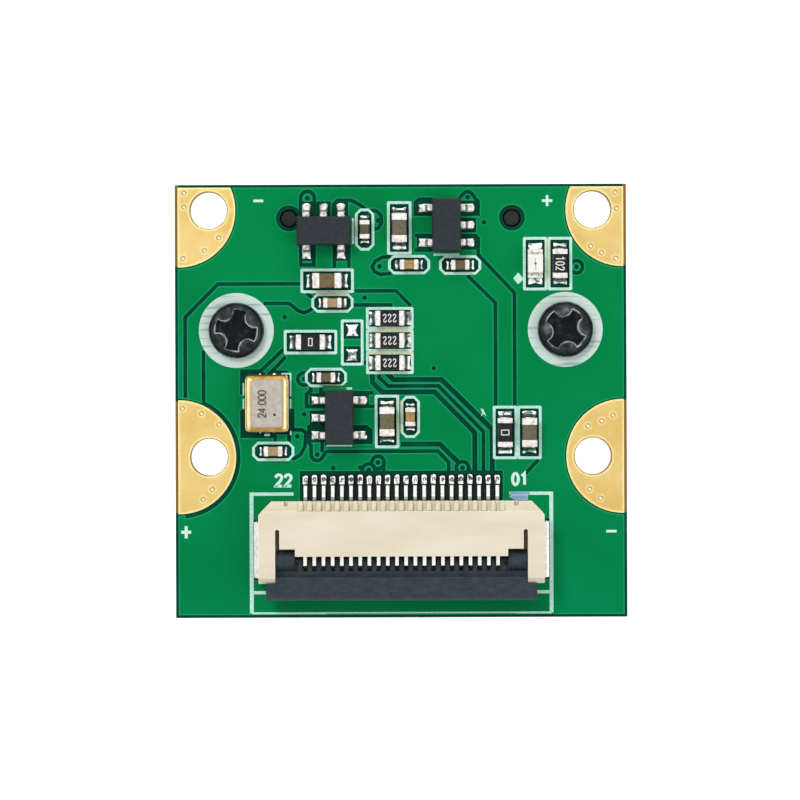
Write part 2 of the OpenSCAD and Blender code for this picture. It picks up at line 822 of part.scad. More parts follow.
module capacitor_1() { capacitor(large_cap, large_cap_at[0], "sienna"); }
module capacitor_2() { capacitor(large_cap, large_cap_at[1], "rosybrown"); }
module capacitor_3() { capacitor(large_cap, large_cap_at[2], "darkkhaki"); }
module capacitor_4() { capacitor(large_cap, large_cap_at[3], "rosybrown"); }
module capacitor_5() { capacitor(small_cap, small_cap_at[0], "tan"); }
module capacitor_6() { capacitor(small_cap, small_cap_at[1], "sienna"); }
module capacitor_7() { capacitor(small_cap, small_cap_at[2], "peru"); }
module capacitor_8() { capacitor(small_cap, small_cap_at[3], "saddlebrown"); }
module capacitor_9() { capacitor(small_cap, small_cap_at[4], "sienna"); }
module capacitor_10() { capacitor(small_cap, small_cap_at[5], "peru"); }
module capacitor_11() { capacitor(small_cap, small_cap_at[6], "tan"); }

module large_capacitor_ends() {
    color("gainsboro")
        for (place = large_cap_at)
            at(place, pour_z) chip_ends(large_cap);
}

module small_capacitor_ends() {
    color("gainsboro")
        for (place = small_cap_at)
            at(place, pour_z) chip_ends(small_cap);
}

module chip_resistor(place) {
    color("black")
        at(place, pour_z) chip_body(resistor);
}

module resistor_1() { chip_resistor(resistor_at[0]); }
module resistor_2() { chip_resistor(resistor_at[1]); }
module resistor_3() { chip_resistor(resistor_at[2]); }
module resistor_4() { chip_resistor(resistor_at[3]); }
module resistor_5() { chip_resistor(resistor_at[4]); }
module resistor_6() { chip_resistor(resistor_at[5]); }

module resistor_ends() {
    color("gainsboro")
        for (place = resistor_at)
            at(place, pour_z) chip_ends(resistor);
}

// ---- Light emitting diode ----

module led_base() {
    color("ivory")
        at(led_at, pour_z)
            translate([0, 0, led_base_h / 2])
                cube([big_l - 2 * end_t, big_w, led_base_h], center = true);
}

// Clear moulding with its ends sloped as it leaves the mould
module led_lens() {
    color("white")
        at(led_at, pour_z + led_base_h)
            translate([0, big_w / 2, 0])
                rotate([90, 0, 0])
                    linear_extrude(big_w)
                        polygon([[-led_lens_l / 2, 0], [led_lens_l / 2, 0],
                                 [led_lens_l / 2 - 0.08, led_h - led_base_h],
                                 [0.08 - led_lens_l / 2, led_h - led_base_h]]);
}

// End plating that folds over the top and the end of the base
module led_ends() {
    lap = (big_l - led_lens_l) / 2;
    color("gainsboro")
        at(led_at, pour_z)
            both_ends() {
                translate([big_l / 2 - end_t, -big_w / 2, 0])
                    cube([end_t, big_w, led_base_h]);
                translate([big_l / 2 - lap, -big_w / 2, led_base_h])
                    cube([lap, big_w, end_t]);
            }
}

// ---- Regulators ----

// Side view of a moulded body: widest at its parting line, drawn in above and below it
module moulded_section(width, height) {
    draft = reg_draft * height;
    polygon([[-width / 2 + draft, 0], [width / 2 - draft, 0], [width / 2, height / 2],
             [width / 2 - draft, height], [-width / 2 + draft, height], [-width / 2, height / 2]]);
}

// Runs its children at each lead: three along one side, two along the other
module at_leads() {
    for (turn = [0, 180], i = turn == 0 ? [-1, 0, 1] : [-1, 1])
        rotate(turn)
            translate([i * reg_pitch, reg_w / 2, 0])
                children();
}

module lead_root() {
    translate([-reg_lead_w / 2, -reg_root, reg_standoff + reg_h / 2 - reg_lead_t / 2])
        cube([reg_lead_w, reg_root, reg_lead_t]);
}

module regulator_body(place) {
    color("darkslategray")
        at(place, pour_z)
            difference() {
                translate([0, 0, reg_standoff])
                    intersection() {
                        rotate([90, 0, 0])
                            linear_extrude(reg_w, center = true)
                                moulded_section(reg_l, reg_h);
                        rotate([90, 0, 90])
                            linear_extrude(reg_l, center = true)
                                moulded_section(reg_w, reg_h);
                    }
                at_leads()
                    lead_root();
            }
}

// Side view of a gull-wing lead, from the body's parting line down to its foot
module lead_section() {
    top = reg_standoff + reg_h / 2 + reg_lead_t / 2;
    bend = reg_lead_out * 0.4;
    polygon([[0, top], [bend, top], [bend + 0.12, reg_lead_t], [reg_lead_out, reg_lead_t],
             [reg_lead_out, 0], [bend, 0], [bend - 0.12, top - reg_lead_t], [0, top - reg_lead_t]]);
}

module regulator_legs(place) {
    color("gainsboro")
        at(place, pour_z)
            at_leads() {
                lead_root();
                translate([-reg_lead_w / 2, 0, 0])
                    rotate([90, 0, 90])
                        linear_extrude(reg_lead_w)
                            lead_section();
            }
}

module regulator_1() { regulator_body(regulator_at[0]); }
module regulator_2() { regulator_body(regulator_at[1]); }
module regulator_3() { regulator_body(regulator_at[2]); }
module regulator_1_leads() { regulator_legs(regulator_at[0]); }
module regulator_2_leads() { regulator_legs(regulator_at[1]); }
module regulator_3_leads() { regulator_legs(regulator_at[2]); }

// Solder under and in front of each lead, and at the oscillator, the pins and the nails
module lead_solder() {
    color("silver") {
        for (place = regulator_at)
            at(place, top_z) {
                linear_extrude(copper_t)
                    lead_pads();
                at_leads()
                    translate([-reg_lead_w / 2, reg_lead_out, copper_t])
                        rotate([90, 0, 90])
                            linear_extrude(reg_lead_w)
                                fillet_section(lead_pad_side, reg_lead_t);
            }
        at(osc_at, top_z)
            linear_extrude(copper_t)
                osc_pads();
        translate([0, 0, top_z])
            linear_extrude(copper_t) {
                connector_pads();
                nail_pads();
            }
        for (i = [0 : pins - 1])
            translate([i * pitch - pin_half - pin_pad_w / 2, rear_y + pin_tail, pour_z])
                rotate([90, 0, 90])
                    linear_extrude(pin_pad_w)
                        fillet_section(pin_toe, tail_t);
    }
}

// ---- Oscillator ----

// Ceramic base with a half-round notch at each corner
module oscillator_base() {
    color("dimgray")
        at(osc_at, pour_z)
            linear_extrude(osc_base_h)
                difference() {
                    rect([osc_w, osc_l]);
                    for (x = [-1, 1], y = [-1, 1])
                        translate([x * osc_w / 2, y * osc_l / 2])
                            circle(r = osc_notch_r, $fn = 24);
                }
}

module oscillator_seal() {
    color("goldenrod")
        at(osc_at, pour_z + osc_base_h)
            linear_extrude(seal_h)
                cut_rect([osc_w - 2 * seal_inset, osc_l - 2 * seal_inset], osc_notch_r);
}

module oscillator_lid() {
    inset = seal_inset + lid_inset;
    color("rosybrown")
        at(osc_at, pour_z + osc_base_h + seal_h)
            linear_extrude(lid_h)
                cut_rect([osc_w - 2 * inset, osc_l - 2 * inset], osc_notch_r);
}

// ---- Cable connector ----

module rear_outline(front) {
    polygon([[-housing_half + 0.68, rear_y], [housing_half - 0.68, rear_y],
             [housing_half - 0.18, rear_y - 0.5], [housing_half, rear_y - 0.73],
             [housing_half, front], [-housing_half, front],
             [-housing_half, rear_y - 0.73], [-housing_half + 0.18, rear_y - 0.5]]);
}

// The top plate steps back in front of the latch's ears
module top_outline() {
    difference() {
        intersection() {
            rear_outline(arm_front_y);
            rect([2 * housing_half, plate_y - arm_front_y], [0, (plate_y + arm_front_y) / 2]);
        }
        rect([2 * nose_x, nose_y - arm_front_y + eps], [0, (nose_y + arm_front_y - eps) / 2]);
        for (side = [-1, 1])
            rect([arm_x - nose_x + eps, ear_edge_y - arm_front_y + eps],
                 [side * (arm_x + nose_x - eps) / 2, (ear_edge_y + arm_front_y - eps) / 2]);
        for (side = [-1, 1])
            translate([side * (arm_x - slit_w / 2), 0]) {
                rect([slit_w, slit_end_y - ear_edge_y + slit_w],
                     [0, (slit_end_y + ear_edge_y - slit_w) / 2]);
                translate([0, slit_end_y])
                    circle(d = slit_w, $fn = 24);
            }
    }
}

module housing_block() {
    linear_extrude(ledge_h)
        difference() {
            rear_outline(plate_y - 0.3);
            for (side = [-1, 1])
                rect([0.25, 0.5], [side * (pin_half + 1.02), rear_y]);
        }
    linear_extrude(housing_h)
        top_outline();
    linear_extrude(floor_h)
        rear_outline(arm_front_y);
}

// Side view of a contact's channel: full height under the top plate, low through the ledge
module channel_section() {
    high = beam_z + beam_t + channel_room;
    translate([channel_front_y, channel_z])
        square([plate_y - 0.1 - channel_front_y, high - channel_z]);
    translate([plate_y - 0.2, channel_z])
        square([ledge_depth + 0.3, ledge_channel_h]);
    translate([plate_y, ledge_h - ledge_groove])
        square([ledge_depth + 0.1, 2 * ledge_groove]);
}

module connector_housing() {
    color("antiquewhite")
        translate([0, 0, pour_z])
            difference() {
                housing_block();
                translate([-cable_half, arm_front_y - 1, floor_h])
                    cube([2 * cable_half, cable_stop_y - arm_front_y + 1, beam_z - floor_h]);
                for (i = [0 : pins - 1])
                    translate([i * pitch - pin_half - channel_w / 2, 0, 0])
                        rotate([90, 0, 90])
                            linear_extrude(channel_w)
                                channel_section();
                // Bearings for the latch's stubs, open to the slit
                translate([-arm_x - stub_in, pivot_y, pivot_z])
                    rotate([0, 90, 0])
                        cylinder(r = stub_r + pivot_clear, h = 2 * (arm_x + stub_in));
                // Chamfer at the front of the arms, clear of the latch's wings
                translate([0, arm_front_y, housing_h])
                    rotate([45, 0, 0])
                        cube([2 * housing_half + 1, arm_chamfer * sqrt(2), arm_chamfer * sqrt(2)],
                             center = true);
            }
}

// Side view of a fork contact: a foot on the board, a spine, a beam over the latch's shaft
// and a sprung beam with a bump under the cable
module contact_section() {
    foot_y = rear_y + pin_tail;
    spine_y = plate_y - 0.15;
    low = channel_z + 0.04;
    high = beam_z + beam_t;
    tip_y = pivot_y - 0.25;
    bump_z = floor_h + 0.17;
    polygon([[foot_y, 0], [foot_y, tail_t], [rear_y + 0.3, tail_t], [rear_y + 0.1, low + tail_t],
             [spine_y, low + tail_t], [spine_y, high], [tip_y, high], [tip_y, beam_z],
             [spine_y - 0.55, beam_z], [spine_y - 0.55, low + tail_t],
             [pivot_y + 0.6, low + tail_t], [pivot_y + 0.06, bump_z], [pivot_y - 0.06, bump_z],
             [pivot_y - 0.32, low + tail_t], [pivot_y - 0.32, low + 0.06], [pivot_y, low + 0.1],
             [pivot_y + 0.7, low], [rear_y + 0.05, low], [rear_y + 0.25, 0]]);
}

module connector_contacts() {
    color("white")
        for (i = [0 : pins - 1])
            translate([i * pitch - pin_half - contact_w / 2, 0, pour_z])
                rotate([90, 0, 90])
                    linear_extrude(contact_w)
                        contact_section();
}

// Nails that solder the housing's arms to the board
module hold_down_nails() {
    color("white")
        for (side = [-1, 1])
            translate([side * housing_half, nail_y, pour_z])
                rotate([90, 0, 0])
                    linear_extrude(nail_l)
                        polygon([[0, 0], [side * nail_t, 0], [side * nail_t, nail_foot_t],
                                 [side * nail_plate_t, nail_foot_t + 0.08],
                                 [side * nail_plate_t, nail_h], [0, nail_h]]);
}

// Side view of the latch's grip bar, in front of its pivot
module grip_section() {
    polygon([[-step_in, -latch_under], [-step_in, grip_rise], [0.15 - pivot_in, grip_rise],
             [-pivot_in, grip_rise - 0.2], [-pivot_in, 0.1 - latch_under],
             [0.1 - pivot_in, -latch_under]]);
}

// Side view of the low web that joins the teeth and the ears to the grip bar
module web_section(from) {
    translate([-step_in - eps, -latch_under])
        square([step_in + eps + from, latch_under + comb_rise]);
}

module latch_slice(width, middle = 0) {
    translate([middle - width / 2, 0, 0])
        rotate([90, 0, 90])
            linear_extrude(width)
                children();
}

module connector_latch() {
    reach = arm_x - side_gap;
    ear_w = reach - nose_x - side_gap;
    color("darkslategray")
        translate([0, pivot_y, pour_z + pivot_z]) {
            latch_slice(2 * reach) {
                grip_section();
                web_section(-comb_depth);
            }
            latch_slice(2 * wing_x)
                difference() {
                    grip_section();
                    circle(r = wing_r);
                }
            latch_slice(2 * (nose_x + 2 * side_gap))
                circle(r = shaft_r);
            for (i = [0 : pins])
                latch_slice(pitch - slot_w, (i - 0.5) * pitch - pin_half) {
                    circle(r = comb_rise);
                    web_section(0);
                }
            for (side = [-1, 1]) {
                latch_slice(ear_w, side * (reach - ear_w / 2)) {
                    circle(r = ear_cam_r);
                    web_section(0);
                }
                latch_slice(stub_in + 2 * side_gap, side * (reach + stub_in / 2))
                    circle(r = stub_r);
            }
        }
}

// ---- Holder screws ----

// Four arms left between four round lobes
module cross_recess() {
    linear_extrude(2 * recess_depth, center = true)
        difference() {
            circle(d = recess_l);
            for (turn = [45 : 90 : 315])
                rotate(turn)
                    translate([recess_l / 2 + 0.05, 0])
                        circle(r = recess_lobe_r, $fn = 32);
        }
}

module holder_screw(turn) {
    shank_r = screw_d / 2;
    rotate(turn)
        difference() {
            rotate_extrude()
                union() {
                    intersection() {
                        square([screw_head_d / 2, screw_head_h]);
                        translate([0, screw_head_h - screw_crown_r])
                            circle(r = screw_crown_r, $fn = 96);
                    }
                    translate([0, -screw_l])
                        polygon([[0, 0], [shank_r - 0.3, 0], [shank_r, 0.4], [shank_r, screw_l],
                                 [0, screw_l]]);
                }
            translate([0, 0, screw_head_h])
                cross_recess();
        }
}

module holder_screws() {
    color("black") {
        translate([-ear_x, lens_y, pour_z])
            holder_screw(left_screw_turn);
        translate([ear_x, lens_y, pour_z])
            holder_screw(right_screw_turn);
    }
}

// ---- Lens holder ----

module holder_outline() {
    cut_rect([holder_base_w, holder_base_w], 1.2);
}

module ear_outline() {
    for (side = [-1, 1]) {
        translate([side * ear_x, 0])
            circle(r = ear_r);
        rect([ear_x, 2 * ear_r], [side * ear_x / 2, 0]);
    }
}

// Stiffening ribs from the neck out to the base's corners
module holder_ribs() {
    for (turn = [45 : 90 : 315])
        rotate(turn)
            translate([0, rib_t / 2, board_z - holder_base_h])
                rotate([90, 0, 0])
                    linear_extrude(rib_t)
                        polygon([[neck_d / 2 - 0.5, 0], [neck_d / 2 + rib_out, 0],
                                 [neck_d / 2, -rib_rise], [neck_d / 2 - 0.5, -rib_rise]]);
}

module holder_blanks() {
    translate([0, 0, board_z - holder_base_h])
        linear_extrude(holder_base_h)
            holder_outline();
    translate([0, 0, board_z - ear_h])
        linear_extrude(ear_h)
            ear_outline();
    translate([0, 0, neck_z])
        cylinder(d = neck_d, h = holder_h);
    holder_ribs();
    for (side = [-1, 1])
        translate([side * peg_span / 2, peg_rise, board_z - holder_base_h / 2])
            cylinder(d = peg_d, h = holder_base_h / 2 + board_t - peg_short);
}

module square_pocket(width, from_z, depth) {
    translate([-width / 2, -width / 2, from_z])
        cube([width, width, depth]);
}

module lens_holder() {
    color("dimgray")
        translate([0, lens_y, 0])
            difference() {
                holder_blanks();
                // Bore for the lens, up to the web that carries the filter
                translate([0, 0, neck_z - 1])
                    cylinder(d = thread_d + 2 * lens_clear, h = web_z - neck_z + 1);
                square_pocket(filter_window_w, web_z - 1, filter_web_t + 2);
                square_pocket(cavity_w, cavity_top_z, board_z - cavity_top_z + 1);
                square_pocket(filter_w + 2 * glass_clear, cavity_top_z - filter_t, filter_t + 1);
                for (side = [-1, 1])
                    translate([side * ear_x, 0, board_z - pilot_depth])
                        cylinder(d = screw_d + 2 * screw_fit, h = pilot_depth + 1);
            }
}

module infrared_filter() {
    color("lightcyan")
        translate([0, lens_y, 0])
            square_pocket(filter_w, cavity_top_z - filter_t, filter_t);
}

// ---- Image sensor ----

module image_sensor() {
    color("darkslategray")
        translate([0, lens_y, 0])
            difference() {
                square_pocket(sensor_w, board_z - sensor_t, sensor_t);
                square_pocket(sensor_glass_w, board_z - sensor_t - 1, 1 + sensor_glass_t);
            }
}

module sensor_glass() {
    color("lightcyan")
        translate([0, lens_y, 0])
            square_pocket(sensor_glass_w, board_z - sensor_t, sensor_glass_t);
}

// ---- Lens ----

// Everything in the lens turns about its axis
module lens_turned() {
    translate([0, lens_y, 0])
        rotate_extrude($fn = 96)
            children();
}

module lens_barrel() {
    rim_r = head_d / 2;
    thread_r = thread_d / 2;
    rear_seat_z = shoulder_z + shoulder_t;
    color("dimgray")
        lens_turned()
            polygon([[ring_r + glass_clear + 0.35, 0], [rim_r - 0.3, 0], [rim_r, 0.3],
                     [rim_r, head_h - 0.2], [rim_r - 0.2, head_h], [thread_r, head_h],
                     [thread_r, barrel_l - 0.3], [thread_r - 0.3, barrel_l],
                     [rear_glass_r + glass_clear, barrel_l],
                     [rear_glass_r + glass_clear, rear_seat_z], [rear_stop_r, rear_seat_z],
                     [rear_stop_r, shoulder_z], [glass_r + glass_clear, shoulder_z],
                     [glass_r + glass_clear, glass_z], [ring_r + glass_clear, glass_z],
                     [ring_r + glass_clear, 0.35]]);
}

// Ring that holds the front glass in, with two slots for a spanner
module retaining_ring() {
    color("black")
        difference() {
            lens_turned()
                polygon([[ring_in_r, ring_recess + 0.25], [ring_in_r + 0.25, ring_recess],
                         [ring_r, ring_recess], [ring_r, glass_z], [ring_in_r, glass_z]]);
            translate([0, lens_y, ring_recess])
                cube([2 * ring_r + 1, 0.8, 0.8], center = true);
        }
}

// Glass element: a disc whose faces bulge out (positive) or in (negative), each within a radius
module glass_section(r, from_z, edge, front, front_r, rear, rear_r) {
    difference() {
        union() {
            translate([0, from_z])
                square([r, edge]);
            if (front > 0)
                cap_section(front_r, from_z, front, -1);
            if (rear > 0)
                cap_section(rear_r, from_z + edge, rear, 1);
        }
        if (front < 0)
            cap_section(front_r, from_z, -front, 1);
        if (rear < 0)
            cap_section(rear_r, from_z + edge, -rear, -1);
    }
}

// Half of a circle's segment: its half chord, base level, rise and the way it points
module cap_section(half_chord, base_z, rise, way) {
    r = (half_chord * half_chord + rise * rise) / (2 * rise);
    intersection() {
        translate([0, base_z - way * (r - rise)])
            circle(r = r, $fn = 180);
        translate([0, way > 0 ? base_z : base_z - rise - 1])
            square([half_chord, rise + 1]);
    }
}

module front_glass() {
    color("lightblue")
        lens_turned()
            glass_section(glass_r, glass_z, front_glass_t, front_bulge, ring_in_r - glass_margin,
                          -front_hollow, glass_r - spacer_wall - glass_margin);
}

module spacer_ring() {
    color("black")
        lens_turned()
            translate([glass_r - spacer_wall, glass_z + front_glass_t])
                square([spacer_wall, spacer_t]);
}

module middle_glass() {
    color("lightblue")
        lens_turned()
            glass_section(glass_r, glass_z + front_glass_t + spacer_t, middle_glass_t,
                          -middle_hollow, glass_r - spacer_wall - glass_margin, 0, 0);
}

module rear_glass() {
    color("lightblue")
        lens_turned()
            glass_section(rear_glass_r, shoulder_z + shoulder_t, rear_glass_t,
                          rear_front_bulge, rear_stop_r - glass_margin,
                          rear_bulge, rear_glass_r - glass_margin);
}

// ---- Nodes ----

circuit_board();
copper_pour();
corner_pads();
printed_outlines();
chip_solder();
lead_solder();
connector_housing();
connector_latch();
connector_contacts();
hold_down_nails();
regulator_1();
regulator_1_leads();
regulator_2();
regulator_2_leads();
regulator_3();
regulator_3_leads();
oscillator_base();
oscillator_seal();
oscillator_lid();
capacitor_1();
capacitor_2();
capacitor_3();
capacitor_4();
capacitor_5();
capacitor_6();
capacitor_7();
capacitor_8();
capacitor_9();
capacitor_10();
capacitor_11();
large_capacitor_ends();
small_capacitor_ends();
resistor_1();
resistor_2();
resistor_3();
resistor_4();
resistor_5();
resistor_6();
resistor_ends();
led_base();
led_lens();
led_ends();
holder_screws();
lens_holder();
infrared_filter();
image_sensor();
sensor_glass();
lens_barrel();
retaining_ring();
front_glass();
spacer_ring();
middle_glass();
rear_glass();
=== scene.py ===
"""Looks of the camera module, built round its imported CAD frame.

Metres, +X right, +Y from the connector edge to the far edge, +Z out of the component side.
The module lies lens down, and the camera looks straight down on its component side.
"""
import json
import math
import random

import bmesh
import bpy
from mathutils import Matrix, Vector


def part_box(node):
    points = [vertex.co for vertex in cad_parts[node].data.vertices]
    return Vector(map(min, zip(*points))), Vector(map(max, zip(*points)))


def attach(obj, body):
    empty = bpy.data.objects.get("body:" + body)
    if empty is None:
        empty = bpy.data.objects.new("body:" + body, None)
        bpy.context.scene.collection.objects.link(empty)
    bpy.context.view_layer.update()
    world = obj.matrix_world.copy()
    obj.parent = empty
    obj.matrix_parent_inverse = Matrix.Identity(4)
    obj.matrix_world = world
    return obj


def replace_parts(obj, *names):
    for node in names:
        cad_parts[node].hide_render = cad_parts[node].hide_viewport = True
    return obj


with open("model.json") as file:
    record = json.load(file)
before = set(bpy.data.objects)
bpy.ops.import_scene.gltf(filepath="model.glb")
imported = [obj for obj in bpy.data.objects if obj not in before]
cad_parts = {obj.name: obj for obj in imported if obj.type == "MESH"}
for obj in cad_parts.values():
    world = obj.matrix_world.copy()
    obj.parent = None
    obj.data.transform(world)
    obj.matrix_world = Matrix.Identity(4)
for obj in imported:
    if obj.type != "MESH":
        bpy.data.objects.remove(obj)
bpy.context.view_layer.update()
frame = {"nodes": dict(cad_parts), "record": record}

MM = 0.001
BLACK = (0, 0, 0, 1)
WHITE = (1, 1, 1, 1)
RIGHT = Vector((1, 0, 0))
REAR = Vector((0, 1, 0))
NODES = frame["nodes"]


# ---- places taken from the frame

def node_box(name):
    """Lowest and highest corner of a CAD node, in metres."""
    low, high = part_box(name)
    return Vector(low), Vector(high)


def node_middle(name):
    low, high = node_box(name)
    return (low + high) / 2


BOARD_LOW, BOARD_HIGH = node_box("circuit_board")
POUR_Z = node_box("copper_pour")[1].z
LENS = node_middle("lens_barrel")
SCREWS_LOW, SCREWS_HIGH = node_box("holder_screws")
SCREW_TOP = SCREWS_HIGH.z
SCREW_RADIUS = (SCREWS_HIGH.y - SCREWS_LOW.y) / 2
SCREW_X = SCREWS_HIGH.x - SCREW_RADIUS
HOUSING_REAR = node_box("connector_housing")[1].y
CONTACTS_LOW, CONTACTS_HIGH = node_box("connector_contacts")

PATTERN = next(m for m in frame["record"]["mounts"] if m["name"] == "board_holes")
MOUNT_MID_Y = PATTERN["pos_m"][1]
MOUNT_HALF_X = PATTERN["dims"]["spacing_x_mm"] / 2 * MM
MOUNT_HALF_Y = PATTERN["dims"]["spacing_y_mm"] / 2 * MM
HOLE_RADIUS = PATTERN["dims"]["hole_r_mm"] * MM


# ---- material helpers

def tone(colour):
    """Linear colour of an 8 bit screen colour. Anything but a tuple of three passes unchanged."""
    def linear(value):
        value /= 255
        return value / 12.92 if value <= 0.04045 else ((value + 0.055) / 1.055) ** 2.4
    if isinstance(colour, tuple) and len(colour) == 3:
        return tuple(linear(value) for value in colour) + (1.0,)
    return colour


class Surface:
    """A Principled material with short calls for the nodes that vary it.

    Its methods take node outputs, and return them. The first colour and roughness show only where
    nothing varies them.
    """

    def __init__(self, name, colour, roughness=0.5, metallic=0.0, **sockets):
        self.material = bpy.data.materials.new(name)
        self.material.use_nodes = True
        self.tree = self.material.node_tree
        self.shader = self.tree.nodes["Principled BSDF"]
        sockets.update(Base_Color=colour, Roughness=roughness, Metallic=metallic)
        for socket, value in sockets.items():
            self.shader.inputs[socket.replace("_", " ")].default_value = tone(value)
        self.place = self.add("TexCoord").outputs["Object"]

    def add(self, kind, sockets=None, **settings):
        """A new node. sockets maps its inputs to plain values or to the outputs of other nodes."""
        node = self.tree.nodes.new("ShaderNode" + kind)
        for key, value in settings.items():
            setattr(node, key, value)
        for key, value in (sockets or {}).items():
            if hasattr(value, "is_linked"):
                self.link(value, node.inputs[key])
            else:
                node.inputs[key].default_value = value
        return node

    def link(self, start, end):
        self.tree.links.new(start, end)

    def noise(self, scale, detail, stretch=None):
        """Noise in the part's own space: scale is in features per metre."""
        place = self.place
        if stretch:
            place = self.add("Mapping", {"Scale": stretch, "Vector": place}).outputs["Vector"]
        return self.add("TexNoise", {"Scale": scale, "Detail": detail, "Vector": place}).outputs["Fac"]

    def feed(self, source):
        """A node's output as it is, or noise for a tuple of scale and detail."""
        return self.noise(*source) if isinstance(source, tuple) else source

    def specks(self, scale):
        """Distance to scattered points, for pits: scale is in points per metre."""
        return self.add("TexVoronoi", {"Scale": scale, "Vector": self.place}).outputs["Distance"]

    def ramp(self, source, *stops):
        """Colour ramp through (position, colour) stops."""
        node = self.add("ValToRGB", {"Fac": self.feed(source)})
        elements = node.color_ramp.elements
        while len(elements) < len(stops):
            elements.new(0.5)
        for element, (position, colour) in zip(elements, stops):
            element.position = position
            element.color = tone(colour)
        return node.outputs["Color"]

    def cloud(self, scale, detail, low=0.3, high=0.7, stretch=None):
        """Noise spread over its whole range: 0 below the level low, 1 above high."""
        return self.ramp(self.noise(scale, detail, stretch), (low, BLACK), (high, WHITE))

    def blotches(self, scale, detail, dark, light, low=0.3, high=0.7, stretch=None):
        """Two tones by noise: dark below the level low, light above high."""
        return self.mix(self.cloud(scale, detail, low, high, stretch), dark, light)

    def span(self, source, low, high, new_low=0.0, new_high=1.0):
        """Maps the range low to high onto another, and holds the ends."""
        return self.add("MapRange", {"Value": source, "From Min": low, "From Max": high,
                                     "To Min": new_low, "To Max": new_high}).outputs["Result"]

    def mix(self, factor, first, second, blend="MIX"):
        """Mixes two colours: 0, 6 and 7 are the sockets that a colour mix uses."""
        sockets = {0: factor, 6: tone(first), 7: tone(second)}
        return self.add("Mix", sockets, data_type="RGBA", blend_type=blend).outputs[2]

    def maths(self, operation, first, second=0.0):
        return self.add("Math", {0: first, 1: second}, operation=operation).outputs["Value"]

    def facing(self, axis):
        """Component of the surface's own normal along X, Y or Z of the part."""
        normal = self.add("TexCoord").outputs["Normal"]
        return self.add("SeparateXYZ", {"Vector": normal}).outputs[axis]

    def position(self, axis):
        """Place along X, Y or Z of the part, in metres."""
        return self.add("SeparateXYZ", {"Vector": self.place}).outputs[axis]

    def distance(self, axis, level):
        """How far the place along an axis is from a level, in metres."""
        return self.maths("ABSOLUTE", self.maths("SUBTRACT", self.position(axis), level))

    def around(self, x, y, reach):
        """1 within reach of the upright axis through (x, y), all in metres."""
        flat = self.add("Mapping", {"Scale": (1, 1, 0), "Vector": self.place}).outputs["Vector"]
        far = self.add("VectorMath", {0: flat, 1: (x, y, 0)}, operation="DISTANCE").outputs["Value"]
        return self.maths("LESS_THAN", far, reach)

    def round_screws(self, reach):
        """1 within reach of the axis of either holder screw."""
        return self.maths("MAXIMUM", *(self.around(LENS.x + side * SCREW_X, LENS.y, reach)
                                       for side in (-1, 1)))

    def within(self, left, front, right, rear):
        """1 inside the upright box between these sides, in metres."""
        inside = 1.0
        for axis, low, high in (("X", left, right), ("Y", front, rear)):
            near = self.maths("LESS_THAN", self.distance(axis, (low + high) / 2), (high - low) / 2)
            inside = self.maths("MULTIPLY", inside, near)
        return inside

    def edge(self, radius, gain):
        """1 along sharp edges within the given radius in millimetres, 0 on flats."""
        bevel = self.add("Bevel", {"Radius": radius * MM}, samples=5).outputs["Normal"]
        normal = self.add("NewGeometry").outputs["True Normal"]
        dot = self.add("VectorMath", {0: bevel, 1: normal}, operation="DOT_PRODUCT").outputs["Value"]
        return self.maths("MINIMUM", self.maths("MULTIPLY", self.maths("SUBTRACT", 1.0, dot), gain), 1.0)

    def colour(self, source):
        self.link(source, self.shader.inputs["Base Color"])

    def roughness(self, scale, detail, low, high):
        """Roughness that noise moves between low and high."""
        spread = self.span(self.noise(scale, detail), 0.25, 0.75, low, high)
        self.link(spread, self.shader.inputs["Roughness"])

    def relief(self, source, depth, strength, edge=0.0):
        """Bump of the given depth in millimetres over edges rounded to a radius in millimetres."""
        sockets = {"Distance": depth * MM, "Strength": strength, "Height": self.feed(source)}
        if edge:
            sockets["Normal"] = self.add("Bevel", {"Radius": edge * MM}, samples=6).outputs["Normal"]
        self.link(self.add("Bump", sockets).outputs["Normal"], self.shader.inputs["Normal"])
        return self




# ---- materials

def mask_over_copper():
    """Glossy green solder mask: even but for painted light that makes it lighter towards the rear, a little
    cloudy, with soft rounded edges that carry a painted highlight.
    """
    s = Surface("mask_over_copper", (0, 130, 72), 0.34, Specular_IOR_Level=0.035)
    cloud = s.cloud(260, 2)
    # painted light: darker green at the front, lighter at the rear
    front = s.mix(cloud, (0, 125, 70), (0, 133, 78))
    rear = s.mix(cloud, (0, 128, 66), (0, 139, 78))
    green = s.mix(s.span(s.position("Y"), -12 * MM, 12 * MM), front, rear)
    # painted highlight: pale teal along the edges of the mask
    s.colour(s.mix(s.edge(0.13, 15.0), green, (36, 168, 120)))
    s.roughness(2600, 4, 0.3, 0.42)
    return s.relief((9000, 2), 0.004, 0.25, 0.05)


# Width of the board's rim that has no mask, and how far it goes each way from a mounting hole
BARE_RIM = 0.2 * MM
PAD_REACH = 3.05 * MM
# How far the solder of the contacts reaches past their toes
TOE_SOLDER = 0.6 * MM


